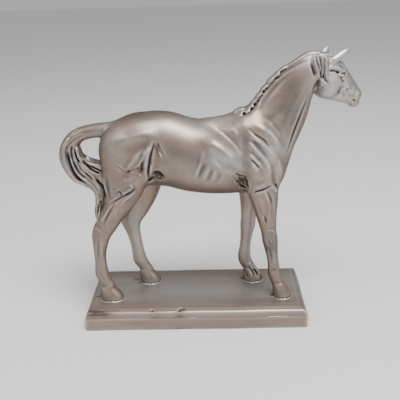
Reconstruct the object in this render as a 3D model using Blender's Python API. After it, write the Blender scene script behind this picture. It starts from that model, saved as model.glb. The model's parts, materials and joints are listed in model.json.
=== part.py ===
"""Horse bookend: a standing horse cast as one with its mane, forelock and tail, on a stepped plinth.

The horse is drawn in millimetres with its soles at z = 0, the head towards +x, its right side
towards -y, and is then scaled to HORSE_HEIGHT. It is modelled as a field of distances, like clay:
tubes and balls are joined softly, then grooves and ridges are drawn on each side.
"""
import math
import bpy
import numpy as np
from mathutils import Vector
from mathutils import geometry

# Driving sizes in metres
HORSE_HEIGHT = 0.1758        # soles to ear tips
PLINTH_HEIGHT = 0.0150
PLINTH_FACE = 0.0096         # upright face below the rounded shoulder
SHOULDER_RISE = 0.0041
SHOULDER_INSET = 0.0030
LEDGE = 0.0013
STEP_SLOPE = 0.0007
STEP_EDGE = 0.0003
PLATEAU_END_MARGIN = 0.0046  # from the outermost hooves to the ends of the plateau
PLATEAU_SIDE_MARGIN = 0.0090
CORNER_RADIUS = 0.0018
FOOT_BEVEL = 0.0004
SEAT_CLEARANCE = 0.0003      # between each hoof and the plinth
RIM_WIDTH = 0.0015
RIM_RISE = 0.0006

DRAWN_HEIGHT = 175.8         # the same height in the drawing, mm
CELL = 0.9                   # grid of the field, mm
HORSE_TRIANGLES = 8600

NEAR, OFF = -1, 1
FAR = 12.0


class Turned:
    """Axes turned about the vertical: x forward, y to the off side, z up."""

    def __init__(self, origin, turn):
        self.o = np.array(origin, float)
        self.c = math.cos(math.radians(turn))
        self.s = math.sin(math.radians(turn))

    def into(self, x, y, z):
        x, y = x - self.o[0], y - self.o[1]
        return x * self.c + y * self.s, -x * self.s + y * self.c, z - self.o[2]

    def out(self, p):
        x = self.o[0] + p[:, 0] * self.c - p[:, 1] * self.s
        y = self.o[1] + p[:, 0] * self.s + p[:, 1] * self.c
        return np.stack([x, y, self.o[2] + p[:, 2]], 1)


BODY = Turned((0, 0, 0), 0)
HEAD = Turned((87.3, 4.0, 172.0), 27)   # origin at the poll, turned to the off side


class Clay:
    def __init__(self, low, high, cell):
        self.low = np.array(low, float)
        self.cell = cell
        self.count = np.ceil((np.array(high, float) - self.low) / cell).astype(int) + 1
        self.field = np.full(self.count, FAR, np.float32)

    def axes(self, first, last):
        x, y, z = (self.low[k] + self.cell * np.arange(first[k], last[k]) for k in range(3))
        return x[:, None, None], y[None, :, None], z[None, None, :]

    def window(self, low, high):
        first = np.floor((np.array(low) - self.low) / self.cell).astype(int)
        last = np.ceil((np.array(high) - self.low) / self.cell).astype(int) + 1
        first = np.clip(first, 0, self.count)
        last = np.clip(last, 0, self.count)
        where = tuple(slice(a, b) for a, b in zip(first, last))
        return (where, *self.axes(first, last))

    def join(self, where, form, blend):
        old = self.field[where]
        h = np.clip(0.5 + 0.5 * (old - form) / max(blend, 1e-6), 0, 1)
        self.field[where] = old * (1 - h) + form * h - blend * h * (1 - h)

    def carve(self, where, form, blend):
        old = self.field[where]
        h = np.clip(0.5 - 0.5 * (old + form) / max(blend, 1e-6), 0, 1)
        self.field[where] = old * (1 - h) - form * h + blend * h * (1 - h)

    def softened(self, sigma):
        """The field after a Gaussian blur."""
        reach = int(math.ceil(2.3 * sigma / self.cell))
        steps = np.arange(-reach, reach + 1)
        weight = np.exp(-0.5 * (steps * self.cell / sigma) ** 2)
        weight = (weight / weight.sum()).astype(np.float32)
        field = self.field
        for axis in range(3):
            pad = [(0, 0)] * 3
            pad[axis] = (reach, reach)
            wide = np.pad(field, pad, mode="edge")
            total = np.zeros_like(field)
            for k, w in enumerate(weight):
                part = [slice(None)] * 3
                part[axis] = slice(k, k + field.shape[axis])
                total += w * wide[tuple(part)]
            field = total
        return field

    def sample(self, points, field=None):
        field = self.field if field is None else field
        at = np.clip((points - self.low) / self.cell, 0, self.count - 1.001)
        i = at.astype(int)
        w = at - i
        value = 0
        for dx in (0, 1):
            for dy in (0, 1):
                for dz in (0, 1):
                    part = (w[:, 0] if dx else 1 - w[:, 0])
                    part = part * (w[:, 1] if dy else 1 - w[:, 1])
                    part = part * (w[:, 2] if dz else 1 - w[:, 2])
                    value = value + part * field[i[:, 0] + dx, i[:, 1] + dy, i[:, 2] + dz]
        return value


def smooth_path(points, steps):
    """Catmull-Rom curve through rows of numbers."""
    p = np.array(points, float)
    p = np.vstack([2 * p[0] - p[1], p, 2 * p[-1] - p[-2]])
    rows = []
    for i in range(1, len(p) - 2):
        a, b, c, d = p[i - 1], p[i], p[i + 1], p[i + 2]
        for s in range(steps):
            t = s / steps
            rows.append(0.5 * (2 * b + (c - a) * t + (2 * a - 5 * b + 4 * c - d) * t * t
                               + (3 * b - a - 3 * c + d) * t ** 3))
    rows.append(p[-2])
    return np.array(rows)


def ellipsoid_distance(u, v, w, a, b, c):
    near = np.sqrt((u / a) ** 2 + (v / b) ** 2 + (w / c) ** 2)
    slope = np.sqrt((u / (a * a)) ** 2 + (v / (b * b)) ** 2 + (w / (c * c)) ** 2)
    return near * (near - 1) / np.maximum(slope, 1e-4)


def tube_distance(x, y, z, rows):
    best = None
    for p, q in zip(rows[:-1], rows[1:]):
        d = q[:3] - p[:3]
        length = np.linalg.norm(d)
        if length < 1e-6:
            continue
        d = d / length
        side = np.array([0.0, 1.0, 0.0]) - d[1] * d
        if np.linalg.norm(side) < 0.3:
            side = np.array([1.0, 0.0, 0.0]) - d[0] * d
        side /= np.linalg.norm(side)
        up = np.cross(d, side)
        rx, ry, rz = x - p[0], y - p[1], z - p[2]
        along = rx * d[0] + ry * d[1] + rz * d[2]
        t = np.clip(along / length, 0, 1)
        u = rx * up[0] + ry * up[1] + rz * up[2]
        v = rx * side[0] + ry * side[1] + rz * side[2]
        a = p[3] + t * (q[3] - p[3])
        b = p[4] + t * (q[4] - p[4])
        form = ellipsoid_distance(u, v, along - t * length, a, b, 0.5 * (a + b)).astype(np.float32)
        best = form if best is None else np.minimum(best, form)
    return best


def place(clay, where, form, blend, cut):
    if cut:
        clay.carve(where, form, blend)
    else:
        clay.join(where, form, blend)


def tube(clay, rows, blend, steps=4, frame=BODY, cut=False):
    """Tube of elliptical section. Each row: x, y, z, half height in the side plane, half width."""
    rows = smooth_path(rows, steps)
    rows[:, 3:5] = np.maximum(rows[:, 3:5], 0.15)
    reach = rows[:, 3:5].max() + blend + 2
    points = frame.out(rows[:, :3])
    where, x, y, z = clay.window(points.min(0) - reach, points.max(0) + reach)
    if frame is not BODY:
        x, y, z = frame.into(x, y, z)
    place(clay, where, tube_distance(x, y, z, rows), blend, cut)


def ball(clay, centre, radii, blend, turn=0.0, frame=BODY, cut=False):
    """Ellipsoid. turn: degrees in the side plane, front end up."""
    reach = max(radii) + blend + 2
    middle = frame.out(np.array([centre], float))[0]
    where, x, y, z = clay.window(middle - reach, middle + reach)
    if frame is not BODY:
        x, y, z = frame.into(x, y, z)
    x, y, z = x - centre[0], y - centre[1], z - centre[2]
    c, s = math.cos(math.radians(turn)), math.sin(math.radians(turn))
    form = ellipsoid_distance(x * c + z * s, y, z * c - x * s, *radii).astype(np.float32)
    place(clay, where, form, blend, cut)


def pair(clay, centre, radii, blend, turn=0.0, frame=BODY, cut=False):
    for side in (NEAR, OFF):
        ball(clay, (centre[0], side * centre[1], centre[2]), radii, blend, turn, frame, cut)


def line_strength(x, z, points, width, fade):
    """1 on a line of the side plane, falling to 0 over its width and towards its ends."""
    rows = smooth_path(points, 4)
    spans = np.linalg.norm(np.diff(rows, axis=0), axis=1)
    run = np.concatenate([[0], np.cumsum(spans)]) / spans.sum()
    height = 0
    for i in range(len(rows) - 1):
        d = rows[i + 1] - rows[i]
        t = np.clip(((x - rows[i, 0]) * d[0] + (z - rows[i, 1]) * d[1]) / (d @ d), 0, 1)
        away = (x - rows[i, 0] - t * d[0]) ** 2 + (z - rows[i, 1] - t * d[1]) ** 2
        s = run[i] + t * (run[i + 1] - run[i])
        strength = np.clip(np.minimum(s, 1 - s) / fade, 0, 1)
        height = np.maximum(height, strength * np.exp(-away / (width * width)))
    return height


def stroke(clay, side, points, width, depth, frame=BODY, edge=3.0, soft=3.0, fade=0.3):
    """Groove (depth > 0) or ridge (depth < 0) along points of the side plane, on one side."""
    rows = np.array(points, float)
    reach = 2.4 * width + 1
    low, high = rows.min(0) - reach, rows.max(0) + reach
    corners = [[p, lateral, q] for p in (low[0], high[0]) for q in (low[1], high[1])
               for lateral in (side * edge, side * 30)]
    corners = frame.out(np.array(corners))
    where, x, y, z = clay.window(corners.min(0), corners.max(0))
    if frame is not BODY:
        x, y, z = frame.into(x, y, z)
    gate = np.clip((side * y - edge) / soft, 0, 1)
    gate = gate * gate * (3 - 2 * gate)
    clay.field[where] += (depth * line_strength(x, z, points, width, fade) * gate).astype(np.float32)


def find_skin(clay, frame, p, q, side):
    """Lateral place of the surface at a point of the side plane."""
    lateral = side * (27 - np.arange(0, 27, 0.2))
    line = np.stack([np.full_like(lateral, p), lateral, np.full_like(lateral, q)], 1)
    hit = np.flatnonzero(clay.sample(frame.out(line)) < 0)
    return lateral[hit[0]] if len(hit) else side * 0.5


def lock(clay, side, points, frame=BODY, sink=0.35, blend=0.3, flat=0.9, crown=0.0):
    """A lock of hair laid on the skin. Each point: place in the side plane and radius.

    crown: how far above its first point the lock starts, near the middle of the head.
    """
    rows = smooth_path(points, 4)
    lateral = np.array([find_skin(clay, frame, p, q, side) for p, q, r in rows])
    lateral = np.convolve(np.pad(lateral, 2, mode="edge"), np.ones(5) / 5, mode="valid")
    r = np.maximum(rows[:, 2], 0.2)
    full = np.stack([rows[:, 0], lateral - side * r * sink, rows[:, 1], r, flat * r], 1)
    if crown:
        x, y, z, a, b = full[0]
        full = np.vstack([(x, 0.25 * y, z + crown, 0.7 * a, b), (x, 0.7 * y, z + 0.7 * crown, 0.9 * a, b), full])
    tube(clay, full, blend, steps=1, frame=frame)


# The horse's big forms


def torso(clay):
    tube(clay, [(-44, 0, 110.5, 22.0, 18), (-32, 0, 110.6, 25.5, 19.5), (-20, 0, 110.2, 26.5, 20),
                (-10, 0, 107.8, 25.6, 21), (0, 0, 105.1, 25.8, 22), (12, 0, 103.7, 26.2, 22),
                (24, 0, 104.0, 27.0, 20.5), (36, 0, 105.5, 28.0, 18), (46, 0, 106, 26, 15.5)], 0)
    pair(clay, (-36, 6.5, 111), (20, 13.5, 22.3), 5, turn=10)
    pair(clay, (-48.4, 6.5, 108.4), (14.2, 11, 17), 4, turn=12)
    ball(clay, (50.6, 0, 100.4), (13.6, 16, 20), 6, turn=-15)
    pair(clay, (56.4, 6.8, 96.2), (8.5, 8.3, 12.3), 2.5, turn=-10)
    tube(clay, [(12, 0, 125.4, 5, 5), (24, 0, 127.2, 5, 4.5), (34, 0, 129.8, 5.5, 4.5),
                (42, 0, 132.5, 6, 5)], 5)
    pair(clay, (-26, 12.5, 119.5), (5, 5.5, 4.5), 4)
    for side in (NEAR, OFF):
        tube(clay, [(36, side * 8, 124, 7, 7), (43, side * 9.5, 116, 7.5, 7.5),
                    (50, side * 10.5, 108, 7.5, 7.5), (55.5, side * 10.5, 101, 7, 7.2)], 3)
    pair(clay, (42.5, 12.2, 99), (7.6, 6.8, 15.5), 3, turn=-6)
    pair(clay, (22, 14.5, 108), (15, 7, 8.5), 4, turn=-38)


def neck(clay):
    tube(clay, [(44, 0, 112, 25, 17), (50, 0, 118.3, 22.6, 15.0), (56, 0.3, 124.8, 19.8, 12.2),
                (63.6, 1.2, 135.7, 16.6, 9.8), (70.3, 2.2, 149.0, 13.2, 8.3),
                (77.5, 3.2, 158.4, 11.0, 7.6), (84.5, 4, 163.2, 9.6, 7.4)], 5)


# Leg stations: x, z, half height in the side plane, half width; then the hoof's top and sole.
# The lateral place runs from the first number to the second down the leg.
LEGS = {
    "near hind": (-9.0, -12.5, [
        (-37, 111, 19, 11.5), (-43, 103, 18.3, 11.8), (-46.0, 94, 15.8, 11), (-47.3, 85, 13.2, 9),
        (-50.8, 75.8, 10.0, 6.8), (-56.0, 67.6, 8.2, 5.4), (-61.9, 58.9, 7.8, 4.8),
        (-66.0, 51.5, 6.9, 4.6), (-67.4, 44, 5.6, 4.3), (-68.3, 35.5, 4.5, 3.5),
        (-68.4, 27, 4.5, 3.5), (-68.3, 20.5, 5.2, 4.1), (-66.6, 15.2, 4.7, 4.0),
        (-64.3, 10.4, 4.8, 4.3)], [(-65.9, 9, 4.2, 4.6), (-62.2, 0, 8.0, 6.3)]),
    "off hind": (9.0, 13.0, [
        (-35, 111, 19, 11.5), (-37.5, 103, 18, 11.5), (-37.1, 93, 15.9, 11), (-37.0, 84, 14.4, 9),
        (-39.0, 74, 12.4, 7.2), (-43.3, 63, 10.4, 5.6), (-48.0, 52.2, 8.1, 4.9),
        (-46.9, 43.0, 5.7, 4.3), (-45.4, 33.5, 4.9, 3.6), (-44.3, 25, 5.0, 3.7),
        (-43.4, 18.5, 5.5, 4.2), (-40.5, 13.2, 4.8, 4.0), (-38, 9, 4.9, 4.3)],
        [(-39.6, 8.6, 4.6, 4.7), (-36.2, 0, 7.9, 6.3)]),
    "near fore": (-10.0, -12.5, [
        (49, 97, 13, 9.0), (48.5, 84, 11.2, 7.8), (50.0, 73, 9.3, 6.7), (51.4, 62, 7.1, 5.4),
        (53.0, 51.5, 5.6, 4.8), (53.9, 45, 5.7, 5.2), (54.8, 39, 5.0, 4.4), (56.1, 29.3, 4.2, 3.4),
        (56.9, 22.5, 4.5, 3.9), (57.5, 17.2, 4.7, 4.2), (59.4, 11.2, 4.3, 4.0)],
        [(60.6, 8.6, 4.5, 4.7), (63.3, 0, 6.6, 6.3)]),
    "off fore": (10.0, 13.0, [
        (44, 95, 13, 9.0), (42.5, 82, 11, 7.8), (42.0, 71, 8.9, 6.6), (41.0, 60, 6.9, 5.3),
        (40.1, 52, 5.7, 4.9), (39.7, 46, 5.9, 5.2), (38.8, 39, 4.8, 4.3), (37.8, 29.3, 4.3, 3.4),
        (37.0, 21, 5.0, 4.0), (37.5, 16.0, 5.0, 4.2), (40.1, 11.2, 4.8, 4.1)],
        [(41.2, 8.2, 5.0, 4.8), (43.5, 0, 7.1, 6.3)]),
}


def legs(clay):
    for first, last, stations, foot in LEGS.values():
        rows = []
        for k, (x, z, a, b) in enumerate(stations):
            rows.append((x, first + (last - first) * min(1.0, k / 3), z, a, b))
        tube(clay, rows, 4)


def hooves(clay):
    for first, last, stations, ((x0, z0, a0, b0), (x1, z1, a1, b1)) in LEGS.values():
        tube(clay, [(x0, last, z0, a0, b0),
                    (0.5 * (x0 + x1) + 0.2, last, 0.5 * (z0 + z1), 0.5 * (a0 + a1), 0.5 * (b0 + b1)),
                    (x1, last, z1, a1, b1), (x1 + 0.6, last, -2.0, a1, b1)], 0.7, steps=3)


# Head and face, in the head's own axes


def skull(clay):
    tube(clay, [(1, 0, -9.5, 8.2, 6.6), (6, 0, -11.5, 9.5, 7.6), (11.5, 0, -15, 8.9, 7.9),
                (16.8, 0, -19.1, 7.7, 6.6), (22.2, 0, -23.8, 6.6, 5.2), (27.2, 0, -29.0, 6.0, 4.7),
                (28.9, 0, -33.2, 5.3, 4.5)], 3, frame=HEAD)
    pair(clay, (4.6, 3.4, -20.5), (9.2, 5.0, 9.6), 1.2, frame=HEAD)
    tube(clay, [(3, 0, -24.4, 6.2, 4.5), (11, 0, -28.2, 4.9, 3.8), (19, 0, -31.4, 3.7, 3.3),
                (24, 0, -34.0, 3.1, 3.2)], 2.0, frame=HEAD)


def muzzle(clay):
    pair(clay, (29.2, 2.6, -31.2), (4.0, 2.9, 4.8), 1.2, turn=-40, frame=HEAD)
    ball(clay, (29.4, 0, -36.6), (4.2, 3.7, 3.0), 1.0, turn=-4, frame=HEAD)


def eyes(clay):
    for s in (NEAR, OFF):
        tube(clay, [(9.4, 5.8 * s, -12.6, 0.9, 1.2), (12.2, 6.9 * s, -12.4, 1.1, 1.4),
                    (15.2, 6.7 * s, -13.0, 1.0, 1.3), (17.2, 5.8 * s, -15.2, 0.7, 0.9)], 0.8, frame=HEAD)
        ball(clay, (13.3, 6.0 * s, -15.2), (2.0, 2.0, 1.6), 0.25, turn=-25, frame=HEAD)
        tube(clay, [(10.2, 6.4 * s, -16.2, 0.6, 0.9), (12.6, 7.2 * s, -17.6, 0.75, 0.9),
                    (15.4, 6.9 * s, -17.8, 0.7, 0.9), (17.0, 6.2 * s, -16.8, 0.5, 0.7)], 0.4, frame=HEAD)


# Lines of the face in the head's side plane: points, width, depth
FACE = [
    ([(5.0, -13.4), (9.2, -18.4), (11.6, -22.0), (11.2, -25.6)], 2.0, -0.35),
    ([(16.6, -19.6), (19.6, -23.4), (22.6, -27.0)], 1.2, -0.7),
    ([(8.0, -13.5), (10.9, -16.2), (13.8, -18.9), (17.0, -21.6)], 0.55, 1.0),
    ([(18.2, -22.6), (15.9, -23.4), (14.5, -25.0), (14.1, -27.4), (13.1, -29.1), (11.8, -30.6)], 0.5, 0.75),
    ([(18.9, -24.9), (19.7, -25.6), (20.6, -27.8)], 0.4, 0.7),
    ([(19.5, -23.8), (20.6, -24.0)], 0.55, -0.9),
    ([(21.0, -24.8), (22.8, -25.3), (24.4, -25.6)], 0.35, 0.7),
    ([(16.6, -24.6), (18.2, -27.0)], 0.8, -0.45),
    ([(15.0, -27.4), (17.0, -30.2)], 0.8, -0.6),
    ([(20.0, -31.6), (21.3, -33.5), (23.4, -35.5), (25.6, -36.8)], 0.45, 0.8),
    ([(21.2, -31.4), (22.8, -32.6), (24.6, -34.3), (26.7, -36.2), (28.4, -37.4)], 0.5, -0.6),
    ([(24.6, -31.0), (27.6, -31.2), (30.2, -34.0)], 0.7, -0.35),
    ([(20, -27.4), (23.5, -29.5), (26.5, -31.0)], 0.9, 0.4),
    ([(10.4, -14.3), (12.6, -13.6), (14.9, -14.2), (16.3, -15.8)], 0.35, 1.1),
    ([(10.8, -15.6), (13.0, -16.9), (15.4, -16.4)], 0.35, 1.0),
    ([(15.7, -17.3), (16.6, -18.3), (17.4, -17.6)], 0.35, 1.0),
    ([(14.4, -14.9), (14.9, -15.5)], 0.4, 0.7),
]


def face(clay):
    for s in (NEAR, OFF):
        for points, width, depth in FACE:
            stroke(clay, s, points, width, depth, frame=HEAD, edge=1.0, soft=2.0)
        ball(clay, (26.9, 4.9 * s, -34.3), (2.2, 1.7, 0.6), 0.25, turn=-41, frame=HEAD, cut=True)


def ears(clay):
    tube(clay, [(2.2, -4.4, -6.8, 2.5, 2.3), (5.6, -5.4, -5.3, 2.8, 2.3), (10, -6.1, -2.9, 2.7, 2.0),
                (14.2, -6.5, -0.5, 2.5, 1.8), (17.0, -6.5, 1.1, 1.9, 1.4)], 0.5, frame=HEAD)
    tube(clay, [(3.9, 4.4, -6, 2.8, 2.4), (5.6, 5.0, -2.5, 3.1, 2.2), (7.6, 5.2, 0.0, 2.6, 1.8),
                (8.9, 5.2, 2.2, 1.2, 1.0)], 0.6, frame=HEAD)
    # shells, open towards the front
    tube(clay, [(9.0, -7.4, -5.6, 0.7, 0.9), (12.4, -7.8, -3.6, 0.9, 1.0), (15.8, -7.8, -1.2, 0.8, 0.9),
                (18.6, -7.4, 0.8, 0.4, 0.6)], 0.5, frame=HEAD, cut=True)
    tube(clay, [(7.4, 7.2, -4.4, 0.7, 0.9), (9.2, 7.0, -1.2, 0.9, 1.0), (9.8, 6.2, 0.8, 0.4, 0.6)],
         0.6, frame=HEAD, cut=True)
    stroke(clay, NEAR, [(1.0, -7.8), (1.6, -4.6), (3.2, -2.4)], 0.5, 1.0, frame=HEAD, edge=2.0, soft=1.5)
    stroke(clay, NEAR, [(2.2, -4.2), (4.2, -5.0), (3.2, -6.8)], 0.4, 0.7, frame=HEAD, edge=2.0, soft=1.5)
    stroke(clay, NEAR, [(4.6, -3.4), (9.0, -1.2), (13.2, 1.3)], 0.45, 0.4, frame=HEAD, edge=3.0, soft=1.5)


# Tail: stations of the core, then locks and gaps on its sides


TAIL = [(-52, 0, 124.8, 5.5, 5), (-61, 0, 124.6, 5.1, 4.7), (-70, 0, 123.6, 4.8, 4.6),
        (-77.4, 0, 121.3, 5.0, 4.8), (-82.9, 0, 116.2, 5.8, 5.0), (-85.3, 0, 109, 6.5, 5.3),
        (-84.0, 0, 102, 7.4, 5.8), (-79.4, 0, 96.4, 8.6, 6.2), (-73.0, 0, 93.2, 9.6, 6.2),
        (-66.8, 0, 88, 8.8, 5.8), (-64.4, -1, 79.5, 5.4, 5), (-66.2, -1, 71, 4.3, 4.0),
        (-68.2, -1, 64.5, 3.5, 3.2), (-69.4, -1, 59.0, 1.9, 1.8)]
TAIL_LOCKS = [
    [(-84.4, 119.6, 1.2), (-87.9, 113.4, 1.9), (-88.7, 106.0, 2.1), (-86.9, 98.4, 2.1), (-83.0, 91.8, 2.0),
     (-78.6, 88.2, 1.6), (-75.4, 86.6, 0.8)],
    [(-83.8, 110.6, 0.7), (-83.2, 105.0, 1.1), (-81.0, 98.4, 1.4), (-77.6, 93.2, 1.4), (-73.4, 89.2, 1.5),
     (-69.6, 85.4, 1.3), (-67.4, 80.6, 1.0)],
    [(-81.6, 111.8, 0.7), (-80.9, 106.5, 1.0), (-78.6, 101.5, 1.2), (-75.8, 97.2, 1.3), (-72.6, 93.1, 1.2),
     (-69.6, 89.9, 1.1), (-67.4, 86.2, 1.0), (-65.8, 80.6, 0.8)],
    [(-79.6, 106.0, 0.7), (-76.6, 100.9, 1.1), (-73.4, 97.4, 1.2), (-69.8, 93.2, 1.1), (-66.9, 88.9, 1.1),
     (-64.9, 83.6, 0.9)],
    [(-78.2, 104.2, 0.6), (-74.4, 100.2, 1.0), (-70.2, 96.6, 1.1), (-65.8, 93.6, 1.0), (-62.8, 90.2, 0.8)],
    [(-76.2, 106.0, 0.6), (-72.6, 103.0, 0.8), (-68.3, 100.2, 0.9), (-63.2, 98.0, 0.8)],
    [(-79.4, 113.0, 0.6), (-78.9, 108.6, 1.0), (-76.2, 104.4, 1.2), (-71.8, 102.2, 1.2), (-68.1, 101.0, 1.2),
     (-62.6, 99.8, 1.1)],
    [(-66.2, 77.6, 0.8), (-68.0, 71.0, 1.1), (-69.3, 65.0, 1.1), (-70.0, 59.8, 0.5)],
    [(-64.4, 77.0, 0.8), (-65.8, 71.0, 1.0), (-66.9, 65.0, 0.8), (-68.2, 60.6, 0.4)],
]
TAIL_GAPS = [
    ([(-85.6, 111.6), (-85.4, 106.1), (-84.0, 99.9), (-81.7, 94.4), (-79.2, 90.8), (-76.0, 88.1)], 0.85, 2.6),
    ([(-82.7, 106.6), (-81.3, 101.0), (-79.2, 96.6), (-76.6, 93.4), (-73.8, 91.0)], 0.45, 1.3),
    ([(-80.8, 106.5), (-77.3, 99.2), (-74.0, 95.2), (-70.5, 91.2), (-67.9, 87.8)], 0.45, 1.3),
    ([(-76.6, 104.6), (-73.3, 101.3), (-69.9, 97.9), (-66.3, 95.6), (-63.2, 94.2)], 0.6, 1.8),
    ([(-76.4, 105.4), (-72.2, 102.0), (-68.1, 99.2), (-63.8, 96.8)], 0.5, 1.5),
    ([(-68.2, 92.0), (-65.5, 88.1), (-63.0, 85.2), (-61.8, 81.1), (-61.9, 76.5)], 0.8, 1.7),
    ([(-81.6, 115.9), (-82.6, 112.6), (-82.9, 108.8), (-82.6, 104.9)], 0.5, 1.2),
    ([(-79.6, 111.6), (-79.4, 107.0), (-77.6, 102.6)], 0.4, 0.9),
    ([(-86.0, 112.7), (-83.7, 116.2), (-80.2, 119.4), (-76.0, 121.4), (-71.2, 122.5)], 0.5, 0.6),
    ([(-81.1, 122.9), (-78.6, 124.7), (-75.6, 126.0)], 0.4, 0.4),
    ([(-65.0, 75.6), (-65.8, 70.5), (-66.5, 66.2)], 0.4, 1.1),
    ([(-67.2, 72.8), (-68.3, 67.6), (-68.9, 63.1)], 0.35, 0.9),
    ([(-64.2, 72.1), (-65.3, 67.0), (-67.2, 61.8)], 0.4, 0.9),
]


def path_direction(path):
    step = np.gradient(path[:, [0, 2]], axis=0)
    return step / np.linalg.norm(step, axis=1)[:, None]


def tail(clay):
    tube(clay, TAIL, 2.0)
    for y in (-3.6, 0, 3.6):
        tube(clay, [(-79.0, y, 113.0, 1.0, 1.2), (-78.2, y, 107.4, 1.5, 1.6), (-75.0, y, 103.2, 1.6, 1.7),
                    (-71.0, y, 101.2, 1.6, 1.7), (-67.0, y, 99.9, 1.6, 1.7), (-61.0, y, 98.6, 1.6, 1.6)], 0.6)
    edge_locks(clay)
    for side in (NEAR, OFF):
        for points in TAIL_LOCKS:
            lock(clay, side, points, sink=0.15)
        for points, width, depth in TAIL_GAPS:
            stroke(clay, side, points, width, depth, edge=0.6, soft=1.4, fade=0.2)


def edge_locks(clay):
    """Locks round the outer and inner edges of the tail, seen from behind and from above."""
    path = smooth_path(TAIL, 8)
    step = path_direction(path)
    rng = np.random.RandomState(4)
    count = len(path)
    for outer in (1, -1):
        for k in range(5):
            lean = math.radians(-52 + 26 * k)
            first = int(count * (0.26 + 0.08 * rng.rand()))
            last = int(count * (0.80 + 0.10 * rng.rand()))
            radius = 1.1 + 0.35 * rng.rand()
            wave = 6 * rng.rand()
            rows = []
            for i in range(first, last + 1, 5):
                t = (i - first) / (last - first)
                a = lean + 0.12 * math.sin(5 * t + wave)
                o = outer * math.cos(a) * 0.93
                x = path[i, 0] - step[i, 1] * o * path[i, 3]
                z = path[i, 2] + step[i, 0] * o * path[i, 3]
                y = path[i, 1] + path[i, 4] * 0.93 * math.sin(a)
                r = radius * (0.4 + 0.6 * min(1, t / 0.2)) * min(1, (1 - t) / 0.15 + 0.3)
                rows.append((x, y, z, r, r))
            tube(clay, rows, 0.3, steps=3)


# Mane, forelock and the locks over the cheek


CREST = [(28.5, 0, 132.5), (34, 0, 135.8), (39, 0, 137.0), (43.5, 0.2, 142.5), (48.5, 0.3, 149.3),
         (54, 0.8, 156.0), (61, 1.6, 162.0), (69, 2.4, 167.0), (77, 3.4, 171.3), (84, 4, 172.7),
         (88, 4.2, 172.6)]
# Lumps of the mane's roots on the near side: place in the side plane and radius
MANE_LUMPS = [
    [(28.0, 132.8, 0.8), (31.3, 135.4, 1.7), (35.0, 136.4, 2.0), (39.2, 136.9, 1.2)],
    [(37.8, 136.8, 0.9), (40.2, 138.2, 1.5), (42.8, 140.0, 0.8)],
    [(40.2, 138.9, 0.8), (42.9, 141.6, 1.6), (45.2, 143.3, 1.5), (47.4, 144.8, 0.7)],
    [(43.9, 143.6, 0.8), (45.9, 145.8, 1.6), (48.2, 147.2, 1.5), (50.2, 149.0, 0.7)],
    [(47.4, 147.4, 0.8), (49.0, 149.8, 1.6), (51.0, 151.6, 1.6), (53.0, 153.2, 0.8)],
    [(51.6, 152.8, 0.8), (53.0, 154.8, 1.6), (55.0, 156.4, 1.7), (57.4, 158.4, 0.8)],
    [(55.2, 157.0, 0.8), (57.6, 158.9, 1.6), (59.9, 160.4, 1.6), (62.0, 162.0, 0.8)],
    [(59.0, 160.3, 0.8), (62.2, 162.6, 1.5), (65.6, 164.5, 0.9)],
    [(64.0, 163.4, 0.8), (68.1, 165.9, 1.3), (72.7, 168.3, 1.4), (77.0, 170.0, 1.1)],
    [(73.5, 169.2, 0.9), (77.2, 170.7, 1.3), (81.0, 171.7, 1.3), (84.5, 172.0, 1.0)],
]
MANE_PITS = [
    ([(35.2, 134.4), (36.8, 135.0)], 0.6, 2.0), ([(40.4, 137.0), (41.8, 138.0)], 0.6, 1.8),
    ([(42.8, 139.4), (43.9, 140.6)], 0.6, 1.8), ([(44.6, 141.7), (46.0, 143.0)], 0.5, 1.0),
    ([(48.8, 147.6), (49.6, 149.2)], 0.6, 1.7), ([(50.4, 149.8), (51.4, 151.0)], 0.5, 1.2),
    ([(56.0, 156.2), (59.9, 157.9)], 0.45, 1.2), ([(60.2, 160.2), (61.6, 161.4)], 0.7, 2.0),
    ([(61.6, 161.4), (64.4, 163.0)], 0.5, 1.4),
]
MANE_HEM = [(31.0, 132.6), (35.5, 133.8), (40.0, 136.0), (44.4, 140.4), (48.0, 145.8), (51.6, 150.0),
            (56.0, 154.8), (61.0, 159.0), (66.0, 162.4), (72.0, 165.8), (78.0, 168.4)]
MANE_FALLS = 24


def mane(clay):
    tube(clay, [(x, y, z - 3.4, 3.0, 3.0) for x, y, z in CREST], 3.0)
    rng = np.random.RandomState(2)
    path = smooth_path(CREST, 8)
    step = path_direction(path)
    for k in range(MANE_FALLS):
        i = int(1 + (len(path) - 14) * (k + 0.4 * rng.rand()) / MANE_FALLS)
        (dx, dz), (x, y, z) = step[i], path[i]
        fall = (6.5 + 3.5 * rng.rand()) * (0.75 + 0.25 * math.sin(math.pi * k / MANE_FALLS))
        back = 0.8 + 1.6 * rng.rand()
        r = 0.85 + 0.35 * rng.rand()
        lock(clay, OFF, [(x, z - 1.6, r), (x + 0.33 * fall * dz, z - 0.33 * fall * dx - 0.6, 1.25 * r),
                         (x + 0.66 * fall * dz - 0.5 * back, z - 0.66 * fall * dx - 1.0, 1.1 * r),
                         (x + fall * dz - back, z - fall * dx - 1.4, 0.4 * r)], sink=0.25)
    for points in MANE_LUMPS:
        y = np.interp([p[0] for p in points], [c[0] for c in CREST], [c[1] for c in CREST])
        tube(clay, [(p, b - 0.5, q, r, 1.15 * r + 0.9) for (p, q, r), b in zip(points, y)], 0.3)
    for points, width, depth in MANE_PITS:
        stroke(clay, NEAR, points, width, depth, edge=-0.6, soft=0.8, fade=0.3)
    stroke(clay, NEAR, MANE_HEM, 0.5, 0.8, edge=0.0, soft=1.0, fade=0.1)
    stroke(clay, NEAR, [(x + 1.4, z - 1.4) for x, z in MANE_HEM[:7]], 1.0, -0.3, edge=0.0, soft=1.0, fade=0.3)


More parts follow.
